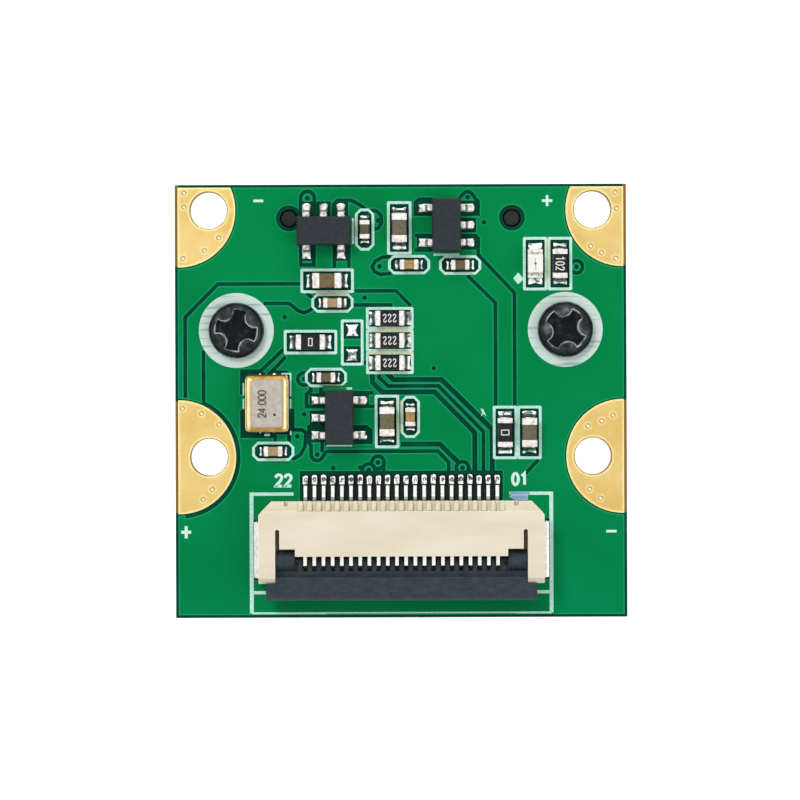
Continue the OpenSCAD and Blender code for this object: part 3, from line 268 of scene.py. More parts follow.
def bare_laminate():
    """Dark mask over bare laminate on the faces, woven glass and resin on the cut edges.

    The lens side is a lighter green. No mask lies on the rim beside the corner pads, and painted shadow makes
    the board nearly black between the contacts.
    """
    s = Surface("laminate", (0, 62, 42), 0.45, Specular_IOR_Level=0.035)
    up = s.facing("Z")
    weave = s.noise(9000, 3, stretch=(0.35, 0.35, 3.0))
    edge = s.ramp(weave, (0.3, (140, 116, 72)), (0.7, (192, 170, 120)))
    lower = s.maths("LESS_THAN", up, -0.5)
    shade = s.blotches(900, 3, (0, 58, 44), (0, 80, 58))
    faces = s.mix(lower, shade, (0, 118, 66))
    rim = s.maths("GREATER_THAN", s.distance("X", 0), BOARD_HIGH.x - BARE_RIM)
    from_hole = s.maths("ABSOLUTE", s.maths("SUBTRACT", s.distance("Y", MOUNT_MID_Y), MOUNT_HALF_Y))
    beside = s.maths("LESS_THAN", from_hole, PAD_REACH)
    faces = s.mix(s.maths("MULTIPLY", rim, beside), faces, (136, 104, 62))
    # painted shadow: the board is nearly black among the contacts, from the housing to just past their toes
    between = s.within(CONTACTS_LOW.x, HOUSING_REAR, CONTACTS_HIGH.x, CONTACTS_HIGH.y + TOE_SOLDER)
    faces = s.mix(between, faces, (34, 50, 48))
    s.colour(s.mix(s.maths("GREATER_THAN", s.maths("ABSOLUTE", up), 0.5), edge, faces))
    return s.relief((14000, 3), 0.006, 0.3, 0.03)


def gold_plating():
    """Thin matt gold over copper: faint brush lines, slow changes of tone, and a painted highlight along its
    edges.
    """
    s = Surface("gold_plating", (240, 208, 138), 0.42, 0.85)
    gold = s.blotches(420, 3, (212, 180, 100), (226, 198, 132))
    # painted highlight: pale cream along the edges of the gold
    s.colour(s.mix(s.edge(0.2, 14.0), gold, (252, 244, 178)))
    s.roughness(3000, 4, 0.36, 0.5)
    return s.relief((22000, 3), 0.003, 0.35, 0.04)


# Where the ink of two frames lies double it turns beige: left, front, right, rear in millimetres
DOUBLE_INK = ((-1.8, 2.46, 0.7, 2.75), (-1.6, 3.72, 0.5, 4.0), (-0.24, -1.9, 0.08, 0.3),
              (7.94, 6.3, 8.2, 8.9), (-4.6, 5.7, -2.9, 6.05))
# Where the print is missing: half of the connector frame's front line, most of the bar over a regulator
NO_INK = ((-4.1, -12.0, 6.24, -11.63), (-4.3, 0.5, -2.98, 0.86))
# The blue mark over the first pin, and the ink rings round the screws: place and reach
PIN_MARK = Vector((6.42, -5.26)) * MM
PIN_MARK_REACH = 0.62 * MM
RING_REACH = 2.2 * MM


def printed_ink():
    """Thin printed ink: greener in the fine lines, grey and streaky in the rings round the screws, with a
    painted highlight along its edges.
    """
    s = Surface("printed_ink", (205, 232, 220), 0.55)
    wear_and_shade = s.cloud(7000, 4, 0.35)
    lines = s.mix(wear_and_shade, (170, 222, 208), (212, 248, 238))
    beige = s.mix(wear_and_shade, (194, 214, 182), (228, 236, 202))
    for box in DOUBLE_INK:
        lines = s.mix(s.within(*(side * MM for side in box)), lines, beige)
    streaks = s.ramp(s.noise(3000, 4, stretch=(0.12, 1.6, 1.0)),
                     (0.33, (152, 180, 174)), (0.44, (205, 224, 216)))
    tint = s.mix(s.round_screws(RING_REACH), lines, streaks)
    tint = s.mix(s.around(*PIN_MARK, PIN_MARK_REACH), tint, (128, 164, 202))
    # painted highlight: pale cyan along the edges of the ink
    tint = s.mix(s.edge(0.05, 8.0), tint, (206, 252, 242))
    for box in NO_INK:
        tint = s.mix(s.within(*(side * MM for side in box)), tint, (0, 129, 74))
    s.colour(tint)
    return s.relief((16000, 3), 0.006, 0.5, 0.02)


def solder():
    """Bright solder, its colour carrying painted reflection: mirror-like where it lies flat, dark where it
    rises steeply, and mottled partly by frozen grain and partly by painted reflection.
    """
    s = Surface("solder", (214, 214, 212), 0.2, 0.9)
    # painted reflection: light where the solder faces up, dark where it slopes away
    slope = s.ramp(s.facing("Z"), (0.1, (64, 70, 70)), (0.55, (112, 120, 118)),
                   (0.8, (206, 208, 205)), (0.95, (252, 252, 250)))
    # frozen grain of the solder mixed with painted dark and light reflections
    grain_and_reflection = s.ramp((3600, 5), (0.4, (84, 96, 92)), (0.52, WHITE))
    s.colour(s.mix(0.9, slope, grain_and_reflection, "MULTIPLY"))
    s.roughness(8000, 3, 0.14, 0.36)
    return s.relief((4200, 3), 0.03, 0.5, 0.03)


def tin_plate(name, steep, dull, rim, metallic, shade_length=0.0):
    """Tin plating: mottled where it faces up, with painted reflection that makes it darkest where it drops
    away and painted shade along its edges.

    steep and dull are the grey levels of those two, rim is the gain of the painted dark edges, and the last
    argument is the length in metres of painted shade where the contacts leave the housing.
    """
    s = Surface(name, (236, 233, 228), 0.34, metallic)
    # painted reflection: the tin darkens as it faces away from straight up
    slope = s.ramp(s.facing("Z"), (0.15, (steep, steep, steep)), (0.6, (150, 150, 148)),
                   (0.9, (252, 250, 247)))
    mottle = s.ramp((5200, 4), (0.3, (dull + 8, dull, dull - 8)), (0.6, WHITE))
    wear_and_shade = s.mix(1.0, slope, mottle, "MULTIPLY")
    # painted shade: dark along the edges
    wear_and_shade = s.mix(s.edge(0.06, rim), wear_and_shade, (96, 100, 98))
    if shade_length:
        # painted shade on the contacts where they leave the housing
        housing_shade = s.within(CONTACTS_LOW.x, HOUSING_REAR, CONTACTS_HIGH.x, HOUSING_REAR + shade_length)
        wear_and_shade = s.mix(housing_shade, wear_and_shade, (132, 134, 128))
    s.colour(wear_and_shade)
    s.roughness(9000, 3, 0.28, 0.46)
    return s.relief((15000, 3), 0.008, 0.5, 0.04)


def housing_plastic():
    """Cream heat-proof plastic: faint flow clouds, a fine satin grain, and a painted highlight along its
    edges.
    """
    s = Surface("housing_plastic", (232, 222, 198), Specular_IOR_Level=0.25)
    cream = s.blotches(620, 4, (224, 213, 188), (235, 226, 204), stretch=(0.4, 1.6, 1.0))
    # painted highlight: near white along the edges of the housing
    s.colour(s.mix(s.edge(0.1, 4.0), cream, (250, 245, 230)))
    s.roughness(5200, 4, 0.42, 0.58)
    return s.relief((26000, 3), 0.004, 0.4, 0.05)


def ledge_plastic():
    """The housing's plastic on its thin ribs, with painted shade on their flanks and lighter tops."""
    s = Surface("ledge_plastic", (240, 234, 212), Specular_IOR_Level=0.2)
    # painted shade: darker where the ribs slope away from straight up
    slope = s.ramp(s.facing("Z"), (0.4, (200, 188, 158)), (0.8, (222, 212, 188)),
                   (0.97, (236, 230, 208)))
    mottle = s.ramp((4200, 3), (0.3, (214, 204, 176)), (0.7, WHITE))
    s.colour(s.mix(0.3, slope, mottle, "MULTIPLY"))
    return s.relief((26000, 3), 0.004, 0.4)


def latch_plastic():
    """Slate-black glass-filled plastic with short pale fibres near its surface, and a painted highlight along
    its edges.
    """
    s = Surface("latch_plastic", (42, 49, 57), 0.46, Specular_IOR_Level=0.18)
    slate = s.blotches(3600, 5, (43, 52, 61), (57, 67, 76), 0.38, 0.75, stretch=(0.6, 1.1, 1.1))
    # painted highlight: lighter along the edges of the latch
    s.colour(s.mix(s.edge(0.06, 1.6), slate, (78, 86, 95)))
    s.roughness(7000, 3, 0.38, 0.56)
    return s.relief((20000, 4), 0.006, 0.5, 0.05)


def chip_moulding():
    """Dark epoxy with the fine pits of a spark-eroded mould, and a painted highlight along its edges."""
    s = Surface("chip_moulding", (46, 54, 56), 0.62, Specular_IOR_Level=0.12)
    epoxy = s.blotches(5000, 5, (42, 50, 53), (50, 58, 61), 0.35, 0.72)
    # painted highlight: lighter along the edges of the moulding
    s.colour(s.mix(s.edge(0.06, 1.2), epoxy, (76, 84, 86)))
    s.roughness(12000, 4, 0.52, 0.72)
    return s.relief(s.specks(26000), 0.006, 0.5, 0.05)


def ceramic(name, dark, light):
    """Fired ceramic body of a capacitor, with a fine grain in two tones."""
    s = Surface(name, light, Specular_IOR_Level=0.2)
    s.colour(s.blotches(7500, 5, dark, light, 0.34))
    s.roughness(6000, 3, 0.4, 0.6)
    return s.relief((18000, 4), 0.006, 0.5, 0.03)


def resistor_body():
    """Black glaze on the top face of white alumina."""
    s = Surface("resistor_body", (44, 42, 43), 0.4, Specular_IOR_Level=0.12)
    top = s.maths("GREATER_THAN", s.facing("Z"), 0.5)
    glaze = s.blotches(4200, 4, (32, 30, 32), (48, 46, 47), 0.35, 0.7)
    s.colour(s.mix(top, (214, 210, 200), glaze))
    s.roughness(6000, 3, 0.26, 0.44)
    return s.relief((9000, 3), 0.01, 0.4, 0.03)


def seal_gold():
    """Gold flash on the oscillator's seal ring, with painted reflection: pale where it slopes to left and
    right, ochre where it slopes fore and aft.
    """
    s = Surface("seal_gold", (224, 178, 92), 0.34, 0.5)
    stain = s.cloud(2600, 4, 0.35, 0.72)
    ochre = s.mix(stain, (176, 128, 44), (214, 170, 84))
    pale = s.mix(stain, (255, 238, 170), (255, 250, 214))
    # painted reflection: pale on the slopes that face left and right
    sideways_sheen = s.span(s.maths("ABSOLUTE", s.facing("X")), 0.15, 0.4)
    s.colour(s.mix(sideways_sheen, ochre, pale))
    s.roughness(6000, 3, 0.26, 0.44)
    return s.relief((9000, 3), 0.006, 0.3)


def lid_metal():
    """Satin nickel-iron lid, faintly warm."""
    s = Surface("lid_metal", (192, 182, 172), 0.5, 0.35)
    s.colour(s.blotches(4200, 5, (173, 162, 152), (196, 187, 178), 0.3, 0.72))
    s.roughness(9000, 4, 0.42, 0.6)
    return s.relief((24000, 4), 0.004, 0.5, 0.05)


# Levels between which painted shade darkens a screw's recess, and the share of the head inside its painted
# dark rim
RECESS_LOW = SCREW_TOP - 0.42 * MM
RECESS_HIGH = SCREW_TOP - 0.16 * MM
CROWN_SHARE = 0.9


def black_oxide():
    """Oiled black oxide on steel, mottled partly by the oxide and partly by painted gloss; painted shade
    makes it near black in the recess and round the rim, and painted glints light its edges.
    """
    s = Surface("black_oxide", (42, 47, 50), 0.34, 0.2, Specular_IOR_Level=0.12)
    # mottled oxide with painted gloss highlights on the crown
    crown = s.ramp((1900, 5), (0.36, (30, 34, 38)), (0.54, (72, 74, 80)),
                   (0.7, (128, 132, 138)))
    # painted shade: near black where the head slopes down to its rim
    crown = s.mix(s.span(s.facing("Z"), 0.55, 0.98), (10, 13, 15), crown)
    # painted shade in the recess
    recess_shade = s.ramp((2400, 4), (0.5, (13, 21, 23)), (0.75, (44, 58, 60)))
    head = s.mix(s.span(s.position("Z"), RECESS_LOW, RECESS_HIGH), recess_shade, crown)
    # painted shade: near black rim round the head
    head = s.mix(s.round_screws(SCREW_RADIUS * CROWN_SHARE), (12, 15, 17), head)
    # painted glints in patches along the edges
    glint_patches = s.ramp((1500, 3), (0.4, (60, 60, 60)), (0.58, WHITE))
    s.colour(s.mix(s.maths("MULTIPLY", s.edge(0.11, 6.0), glint_patches), head, (222, 228, 230)))
    s.roughness(5200, 4, 0.24, 0.46)
    return s.relief((3200, 4), 0.02, 0.5, 0.05)


def holder_plastic():
    """Black glass-filled nylon with a spark-eroded grain, and a painted highlight along its edges."""
    s = Surface("holder_plastic", (34, 35, 37), 0.58, Specular_IOR_Level=0.2)
    nylon = s.blotches(2600, 5, (26, 27, 29), (44, 46, 49), 0.35, 0.75)
    # painted highlight: lighter along the edges of the holder
    s.colour(s.mix(s.edge(0.1, 1.2), nylon, (66, 68, 71)))
    s.roughness(5200, 4, 0.48, 0.7)
    return s.relief(s.specks(14000), 0.012, 0.55, 0.12)


def black_anodising():
    """Turned aluminium, black anodised, with fine tool rings round its axis."""
    s = Surface("black_anodising", (34, 35, 37), 0.4, 0.6)
    rings = s.noise(5200, 2, stretch=(0.06, 0.06, 3.0))
    s.colour(s.ramp(rings, (0.3, (26, 27, 29)), (0.7, (46, 48, 51))))
    s.roughness(4200, 4, 0.3, 0.5)
    return s.relief(rings, 0.01, 0.35, 0.08)


def via_metal():
    """Tinned dimple of a filled via: painted highlight makes its middle near white, and painted shade makes
    it brown where it meets the gold.
    """
    s = Surface("via_metal", (236, 226, 200), 0.4, 0.4)
    # painted highlight in the middle of the dimple and painted brown shade round its edge, by height
    level = s.span(s.position("Z"), POUR_Z - 0.03 * MM, POUR_Z + 0.012 * MM)
    s.colour(s.ramp(level, (0.0, (250, 240, 216)), (0.45, (238, 222, 188)),
                    (0.72, (160, 124, 76)), (1.0, (226, 196, 124))))
    return s.relief((22000, 3), 0.003, 0.35)


def two_tones(name, surface, grain, dark, light, relief, **sockets):
    """A material of two tones by noise. surface is its colour, roughness and metallic level.

    grain is the scale and detail of the noise, and relief adds depth, strength and edge to its own.
    """
    s = Surface(name, *surface, **sockets)
    s.colour(s.blotches(*grain, dark, light))
    return s.relief(relief[:2], *relief[2:])


def marking(name, dark, light):
    """Ink or laser marking on a part."""
    return two_tones(name, (light, 0.6), (12000, 3), dark, light, (24000, 2, 0.004, 0.4))


def filter_glass():
    return two_tones("filter_glass", ((206, 236, 236), 0.05), (160, 2), (196, 232, 232), (222, 238, 244),
                     (600, 1, 0.002, 0.05), Transmission_Weight=0.9, IOR=1.52)


# Grey levels of painted reflection and gains of painted dark edges for each tin; the contacts also get
# painted shade at the housing
tin = tin_plate("tin_plate", steep=92, dull=200, rim=2.4, metallic=0.5)
contact_tin = tin_plate("contact_tin", steep=10, dull=246, rim=2.6, metallic=0.85, shade_length=0.24 * MM)
lead_tin = tin_plate("lead_tin", steep=24, dull=168, rim=2.6, metallic=0.7)
nail_tin = tin_plate("nail_tin", steep=150, dull=222, rim=1.2, metallic=0.75)
tinned = solder()
brown = ceramic("brown_ceramic", (105, 83, 59), (129, 109, 83))
umber = ceramic("umber_ceramic", (94, 76, 52), (118, 100, 76))
taupe = ceramic("taupe_ceramic", (97, 88, 71), (119, 110, 91))
olive = ceramic("olive_ceramic", (98, 92, 66), (120, 114, 86))
drab = ceramic("dark_ceramic_grain", (86, 78, 58), (108, 100, 76))
tan = ceramic("tan_ceramic", (162, 134, 94), (188, 160, 120))
orange = ceramic("orange_ceramic", (160, 126, 74), (186, 152, 100))
anodised = black_anodising()
lens_glass = two_tones("coated_glass", ((222, 230, 244), 0.04), (140, 2), (206, 216, 244), (232, 230, 250),
                       (600, 1, 0.002, 0.05), Transmission_Weight=0.92, IOR=1.6, Coat_Weight=0.6,
                       Coat_Tint=(150, 140, 255))
sensor_package = two_tones("sensor_package", ((44, 42, 50), 0.35, 0.2), (1400, 3), (36, 34, 44), (60, 54, 70),
                           (9000, 3, 0.004, 0.3, 0.05))
dark_ceramic = two_tones("dark_ceramic", ((60, 56, 54), 0.6), (6000, 4), (48, 45, 44), (76, 70, 66),
                         (16000, 3, 0.008, 0.5, 0.03))
led_laminate = two_tones("led_laminate", ((226, 220, 200), 0.5), (6000, 4), (234, 230, 214), (248, 245, 234),
                         (16000, 3, 0.006, 0.4, 0.03))
milky_epoxy = two_tones("led_epoxy", ((240, 236, 220), 0.22), (3400, 3), (246, 244, 234), (255, 254, 248),
                        (9000, 2, 0.008, 0.3, 0.06), Transmission_Weight=0.05, IOR=1.5)
moulding = chip_moulding()
glaze = resistor_body()

FINISH = {
    "circuit_board": bare_laminate(), "copper_pour": mask_over_copper(), "corner_pads": gold_plating(),
    "printed_outlines": printed_ink(), "chip_solder": tinned, "lead_solder": tinned,
    "connector_housing": housing_plastic(), "connector_latch": latch_plastic(),
    "connector_contacts": contact_tin, "hold_down_nails": nail_tin,
    "oscillator_base": dark_ceramic, "oscillator_seal": seal_gold(), "oscillator_lid": lid_metal(),
    "large_capacitor_ends": tin, "small_capacitor_ends": tin, "resistor_ends": tin, "led_ends": tin,
    "led_base": led_laminate, "led_lens": milky_epoxy, "holder_screws": black_oxide(),
    "lens_holder": holder_plastic(), "infrared_filter": filter_glass(), "image_sensor": sensor_package,
    "sensor_glass": filter_glass(), "lens_barrel": anodised, "retaining_ring": anodised,
    "spacer_ring": anodised, "front_glass": lens_glass, "middle_glass": lens_glass, "rear_glass": lens_glass,
}
for number, body in enumerate((brown, taupe, olive, taupe, tan, drab, orange, umber, umber, orange, tan), 1):
    FINISH[f"capacitor_{number}"] = body
for number in (1, 2, 3):
    FINISH[f"regulator_{number}"] = moulding
    FINISH[f"regulator_{number}_leads"] = lead_tin
for number in range(1, 7):
    FINISH[f"resistor_{number}"] = glaze

for name, node in NODES.items():
    node.data.materials.clear()
    node.data.materials.append(FINISH[name].material)


# ---- building pieces

def piece(name, bm, surface, body="board", smooth=False):
    """Makes an object of the mesh, dresses it and lets it ride on a body."""
    bmesh.ops.recalc_face_normals(bm, faces=bm.faces)
    mesh = bpy.data.meshes.new(name)
    bm.to_mesh(mesh)
    bm.free()
    if smooth:
        mesh.shade_smooth()
    thing = bpy.data.objects.new(name, mesh)
    bpy.context.scene.collection.objects.link(thing)
    mesh.materials.append(surface.material)
    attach(thing, body)
    return thing


def bridge(bm, rings):
    """Skins a stack of rings with the same number of vertices, and closes both ends."""
    for low, high in zip(rings, rings[1:]):
        for i in range(len(low)):
            j = (i + 1) % len(low)
            bm.faces.new((low[i], low[j], high[j], high[i]))
    bm.faces.new(rings[0][::-1])
    bm.faces.new(rings[-1])


def lathe(bm, middle, profile, steps):
    """Turns a closed profile of (radius, z) about the upright axis through middle; radius 0 is a tip."""
    rings = []
    for radius, z in profile:
        if radius == 0:
            rings.append([bm.verts.new((middle[0], middle[1], z))])
        else:
            turns = (2 * math.pi * i / steps for i in range(steps))
            rings.append([bm.verts.new((middle[0] + radius * math.cos(turn),
                                        middle[1] + radius * math.sin(turn), z)) for turn in turns])
    for low, high in zip(rings, rings[1:]):
        for i in range(steps):
            j = (i + 1) % steps
            if len(low) == 1:
                bm.faces.new((low[0], high[j], high[i]))
            elif len(high) == 1:
                bm.faces.new((low[i], low[j], high[0]))
            else:
                bm.faces.new((low[i], low[j], high[j], high[i]))


def outline(bm, low, high, corner, z):
    """A ring of vertices at height z round a box's plan, with corners rounded in eight steps."""
    ring = []
    for quarter, (sx, sy) in enumerate(((1, 1), (-1, 1), (-1, -1), (1, -1))):
        x = (high.x - corner) if sx > 0 else (low.x + corner)
        y = (high.y - corner) if sy > 0 else (low.y + corner)
        for k in range(9):
            turn = math.pi / 2 * (quarter + k / 8)
            ring.append(bm.verts.new((x + corner * math.cos(turn), y + corner * math.sin(turn), z)))
    return ring


def rounded_block(bm, low, high, corner, levels):
    """Stacks rounded rectangles of a box's outline, one for each (inset, z) of levels."""
    rings = []
    for inset, z in levels:
        margin = Vector((inset, inset, 0))
        rings.append(outline(bm, low + margin, high - margin, max(corner - inset, 0.02 * MM), z))
    bridge(bm, rings)


# ---- marks drawn with strokes

def ribbon(bm, points, width, z, thick):
    """A flat mitred ribbon of the given width along points, from z up to z + thick."""
    left, right = [], []
    for i, point in enumerate(points):
        before = points[max(i - 1, 0)]
        after = points[min(i + 1, len(points) - 1)]
        first = (point - before) if i else (after - point)
        second = (after - point) if i < len(points) - 1 else first
        normals = [Vector((-v.y, v.x)).normalized() for v in (first, second)]
        middle = (normals[0] + normals[1]).normalized()
        reach = width / 2 / max(middle.dot(normals[0]), 0.45)
        left.append(point + middle * reach)
        right.append(point - middle * reach)
    rim = left + right[::-1]
    low = [bm.verts.new((p.x, p.y, z)) for p in rim]
    high = [bm.verts.new((p.x, p.y, z + thick)) for p in rim]
    total = len(rim)
    for i in range(len(points) - 1):
        a, b, c, d = i, i + 1, total - 2 - i, total - 1 - i
        bm.faces.new([high[d], high[c], high[b], high[a]])
        bm.faces.new([low[a], low[b], low[c], low[d]])
    for i in range(total):
        j = (i + 1) % total
        bm.faces.new([high[j], high[i], low[i], low[j]])


def rounded(points):
    """Catmull-Rom curve through the points, in five steps from one to the next."""
    pts = [Vector(p) for p in points]
    closed = (pts[0] - pts[-1]).length < 1e-9
    curve = []
    last = len(pts) - 1
    for i in range(last):
        before = pts[last - 1] if closed and i == 0 else pts[max(i - 1, 0)]
        after = pts[1] if closed and i == last - 1 else pts[min(i + 2, last)]
        a, b = pts[i], pts[i + 1]
        for k in range(5):
            t = k / 5
            curve.append(0.5 * ((2 * a) + (b - before) * t + (2 * before - 5 * a + 4 * b - after) * t * t
                                + (3 * a - before - 3 * b + after) * t ** 3))
    curve.append(pts[-1])
    return curve


def straight(*points):
    return [Vector(p) for p in points]


# Strokes in a cell 0.6 wide and 1 high: "~" is the curly 2 of the resistors, and "#" is a box
OVAL = rounded([(0.3, 1), (0.08, 0.84), (0, 0.5), (0.08, 0.16), (0.3, 0), (0.52, 0.16), (0.6, 0.5),
                (0.52, 0.84), (0.3, 1)])
HOOK = rounded([(0.02, 0.74), (0.12, 0.94), (0.32, 1), (0.53, 0.9), (0.56, 0.68), (0.4, 0.42), (0.18, 0.2),
                (0.04, 0.02)])
CURL = rounded([(0.0, 0.8), (0.16, 0.98), (0.42, 0.96), (0.5, 0.74), (0.32, 0.5), (0.12, 0.26), (0.16, 0.04),
                (0.42, 0.02), (0.6, 0.2)])
STROKES = {
    "0": [OVAL],
    "1": [straight((0.08, 0.76), (0.36, 1), (0.36, 0))],
    "2": [HOOK + straight((0.6, 0.02))],
    "~": [CURL],
    "4": [straight((0.46, 0), (0.46, 1)), straight((0.46, 0.96), (0.02, 0.3), (0.62, 0.3))],
    ".": [straight((0.2, 0), (0.34, 0))],
    "+": [straight((0.3, 0.06), (0.3, 0.94)), straight((-0.1, 0.5), (0.7, 0.5))],
    "-": [straight((-0.05, 0.5), (0.65, 0.5))],
    "#": [straight((0, 0.5), (0, 1), (0.6, 1), (0.6, 0), (0, 0), (0, 0.52))],
}


def write(name, glyphs, middle, height, turn, z, surface, weight, width, gap):
    """Draws glyphs on a face at height z, centred on middle, (x, y) in millimetres.

    height is in millimetres and turn in degrees. The stroke's weight and the gap are shares of the
    height, and width stretches each cell.
    """
    bm = bmesh.new()
    advances = [(0.3 if glyph == "." else 0.6) * width for glyph in glyphs]
    cursor = -(sum(advances) + gap * (len(glyphs) - 1)) / 2
    turned = Matrix.Rotation(math.radians(turn), 2)
    for glyph, advance in zip(glyphs, advances):
        for layer, path in enumerate(STROKES[glyph]):
            placed = [(turned @ Vector(((cursor + p.x * width) * height, (p.y - 0.5) * height))
                       + Vector(middle)) * MM for p in path]
            ribbon(bm, placed, weight * height * MM, z, (0.012 + 0.002 * layer) * MM)
        cursor += advance + gap
    piece(name, bm, surface)


white_ink = marking("white_marking", (192, 234, 222), (222, 250, 242))
laser = marking("laser_marking", (62, 56, 52), (92, 84, 78))
pale_ink = marking("pale_marking", (206, 208, 206), (240, 242, 240))


def board_marks():
    """Signs and pin numbers on the board, and the printed bar at the foot of the third regulator."""
    for name, glyphs, place, height, weight, width in (
            ("mark_pin_22", "22", (-6.45, -4.34), 0.63, 0.25, 0.95),
            ("mark_pin_1", "01", (6.48, -4.3), 0.62, 0.26, 0.85),
            ("mark_minus_upper", "-", (-7.77, 10.97), 0.7, 0.21, 1.1),
            ("mark_plus_upper", "+", (8.03, 10.93), 0.68, 0.21, 1.05),
            ("mark_plus_lower", "+", (-11.78, -7.15), 0.76, 0.22, 0.9),
            ("mark_minus_lower", "-", (11.49, -7.17), 0.7, 0.2, 1.15)):
        write(name, glyphs, place, height, 0, POUR_Z, white_ink, weight, width, 0.24)
    low, high = node_box("regulator_3")
    y = low.y - 0.04 * MM
    bm = bmesh.new()
    ribbon(bm, straight((low.x + 0.1 * MM, y), (high.x - 0.1 * MM, y)), 0.09 * MM, POUR_Z, 0.012 * MM)
    piece("mark_regulator_foot", bm, white_ink)


def resistor_marks():
    """Value codes on the chip resistors: glyphs, turn, height and width."""
    for number, (glyphs, turn, height, width) in enumerate((
            ("102", -90, 0.46, 0.66), ("~~~", 0, 0.42, 0.72), ("~~~", 0, 0.42, 0.72),
            ("~~~", 0, 0.42, 0.72), ("#", 0, 0.4, 0.8), ("#", 90, 0.4, 1.1)), 1):
        high = node_box(f"resistor_{number}")[1]
        middle = node_middle(f"resistor_{number}") / MM
        write(f"mark_resistor_{number}", glyphs, (middle.x, middle.y), height, turn, high.z, pale_ink,
              0.135, width, 0.2)


def lid_marks():
    """Frequency and pin dot on the oscillator's lid."""
    top = node_box("oscillator_lid")[1].z
    middle = node_middle("oscillator_lid") / MM
    write("mark_frequency", "24.000", (middle.x - 0.26, middle.y - 0.03), 0.42, 90, top, laser,
          0.17, 0.86, 0.13)
    bm = bmesh.new()
    lathe(bm, ((middle.x + 0.43) * MM, (middle.y - 0.62) * MM),
          [(0, top), (0.08 * MM, top), (0.075 * MM, top + 0.008 * MM), (0, top + 0.01 * MM)], 16)
    piece("mark_lid_dot", bm, marking("dark_marking", (22, 18, 16), (40, 34, 30)))


board_marks()
resistor_marks()
lid_marks()


# ---- solder

# How far solder goes into the pad under it, and the least that it stands above
SINK = 0.045 * MM
SKIN = 0.004 * MM


def solids(name):
    """Boxes (lowest, highest corner) of a node's separate solids, from the front left to the rear right."""
    mesh = NODES[name].data
    parent = {}

    def root(key):
        while parent[key] != key:
            parent[key] = parent[parent[key]]
            key = parent[key]
        return key

    keys = [tuple(round(c * 1e7) for c in v.co) for v in mesh.vertices]
    for key in keys:
        parent.setdefault(key, key)
    for edge in mesh.edges:
        a, b = root(keys[edge.vertices[0]]), root(keys[edge.vertices[1]])
        if a != b:
            parent[a] = b
    groups = {}
    for key, vertex in zip(keys, mesh.vertices):
        groups.setdefault(root(key), []).append(vertex.co)
    boxes = [(Vector(map(min, zip(*points))), Vector(map(max, zip(*points)))) for points in groups.values()]
    return sorted(boxes, key=lambda box: (round(box[0].y, 6), round(box[0].x, 6)))


def mound(bm, start, along, across, reach, half, base, height_at, seed, nu=12, nv=12,
          corner=0.3, waist=0.0, notch=0.0):
    """A closed lump of solder on a pad, on a grid of nu by nv cells.

    It starts at start, goes reach along the first way and half to each side across. height_at(u, v)
    is its height in metres above base, for u in 0..1 along and v in -1..1 across. seed settles its
    faint ripples. corner, waist and notch are shares by which its far corners are rounded off, its
    sides are drawn in at half its reach, and the middle of its far end is drawn back.
    """
    chance = random.Random(seed)
    waves = [(chance.uniform(2, 5), chance.uniform(2, 5), chance.uniform(0, 6.3)) for _ in range(3)]
    top, low = [], []
    for i in range(nu + 1):
        u = i / nu
        top.append([])
        low.append([])
        for k in range(nv + 1):
            v = 2 * k / nv - 1
            pinch = (1 - corner * max(0, (u - 0.75) / 0.25) ** 2 * abs(v) ** 3
                     - notch * u ** 3 * (1 - v * v) ** 2)
            ripple = sum(math.sin(a * u * 2 + b * v + c) for a, b, c in waves) * SKIN
            rim = (1 - u ** 8) * (1 - abs(v) ** 8)
            width = half * (1 - 0.1 * corner * u ** 3) * (1 - waist * (1 - (2 * u - 1) ** 2))
            place = start + along * (reach * u * pinch) + across * (width * v)
            z = base + (height_at(u, v) + ripple) * rim + SKIN
            top[-1].append(bm.verts.new((place.x, place.y, z)))
            edge = i in (0, nu) or k in (0, nv)
            low[-1].append(bm.verts.new((place.x, place.y, base - SINK)) if edge else None)
    for i in range(nu):
        for k in range(nv):
            bm.faces.new((top[i][k], top[i + 1][k], top[i + 1][k + 1], top[i][k + 1]))
    rim = ([(i, 0) for i in range(nu)] + [(nu, k) for k in range(nv)]
           + [(i, nv) for i in range(nu, 0, -1)] + [(0, k) for k in range(nv, 0, -1)])
    for (a, b), (c, d) in zip(rim, rim[1:] + rim[:1]):
        bm.faces.new((low[a][b], low[c][d], top[c][d], top[a][b]))
    bm.faces.new([low[a][b] for a, b in rim][::-1])


def cap_fillet(bm, low, high, climb, joint, seed):
    """Solder from a chip's end cap out over its pad: it climbs a share of the cap, and pools further out."""
    a, b = joint
    ways = {(-1, 0): low.x - a.x, (1, 0): b.x - high.x, (0, -1): low.y - a.y, (0, 1): b.y - high.y}
    way, reach = max(ways.items(), key=lambda item: item[1])
    along = Vector((*way, 0))
    across = Vector((-along.y, along.x, 0))
    size = high - low
    start = (low + high) / 2 + along * abs(along.dot(size)) / 2
    rise = (high.z - POUR_Z) * climb
    chance = random.Random(100 + seed)
    bulge, lean, notch = chance.uniform(0.05, 0.13), chance.uniform(-0.25, 0.25), chance.uniform(0, 0.42)

    def height_at(u, v):
        slope = rise * (1 - u) ** 2.6 * (1 - 0.22 * v * v + 0.12 * lean * v)
        pool = bulge * 0.5 * MM * math.exp(-((u - 0.78 - 0.1 * lean * v) / 0.2) ** 2)
        return slope + pool + 0.01 * MM

    mound(bm, start, along, across, reach, abs(across.dot(size)) / 2, POUR_Z, height_at, seed, notch=notch)


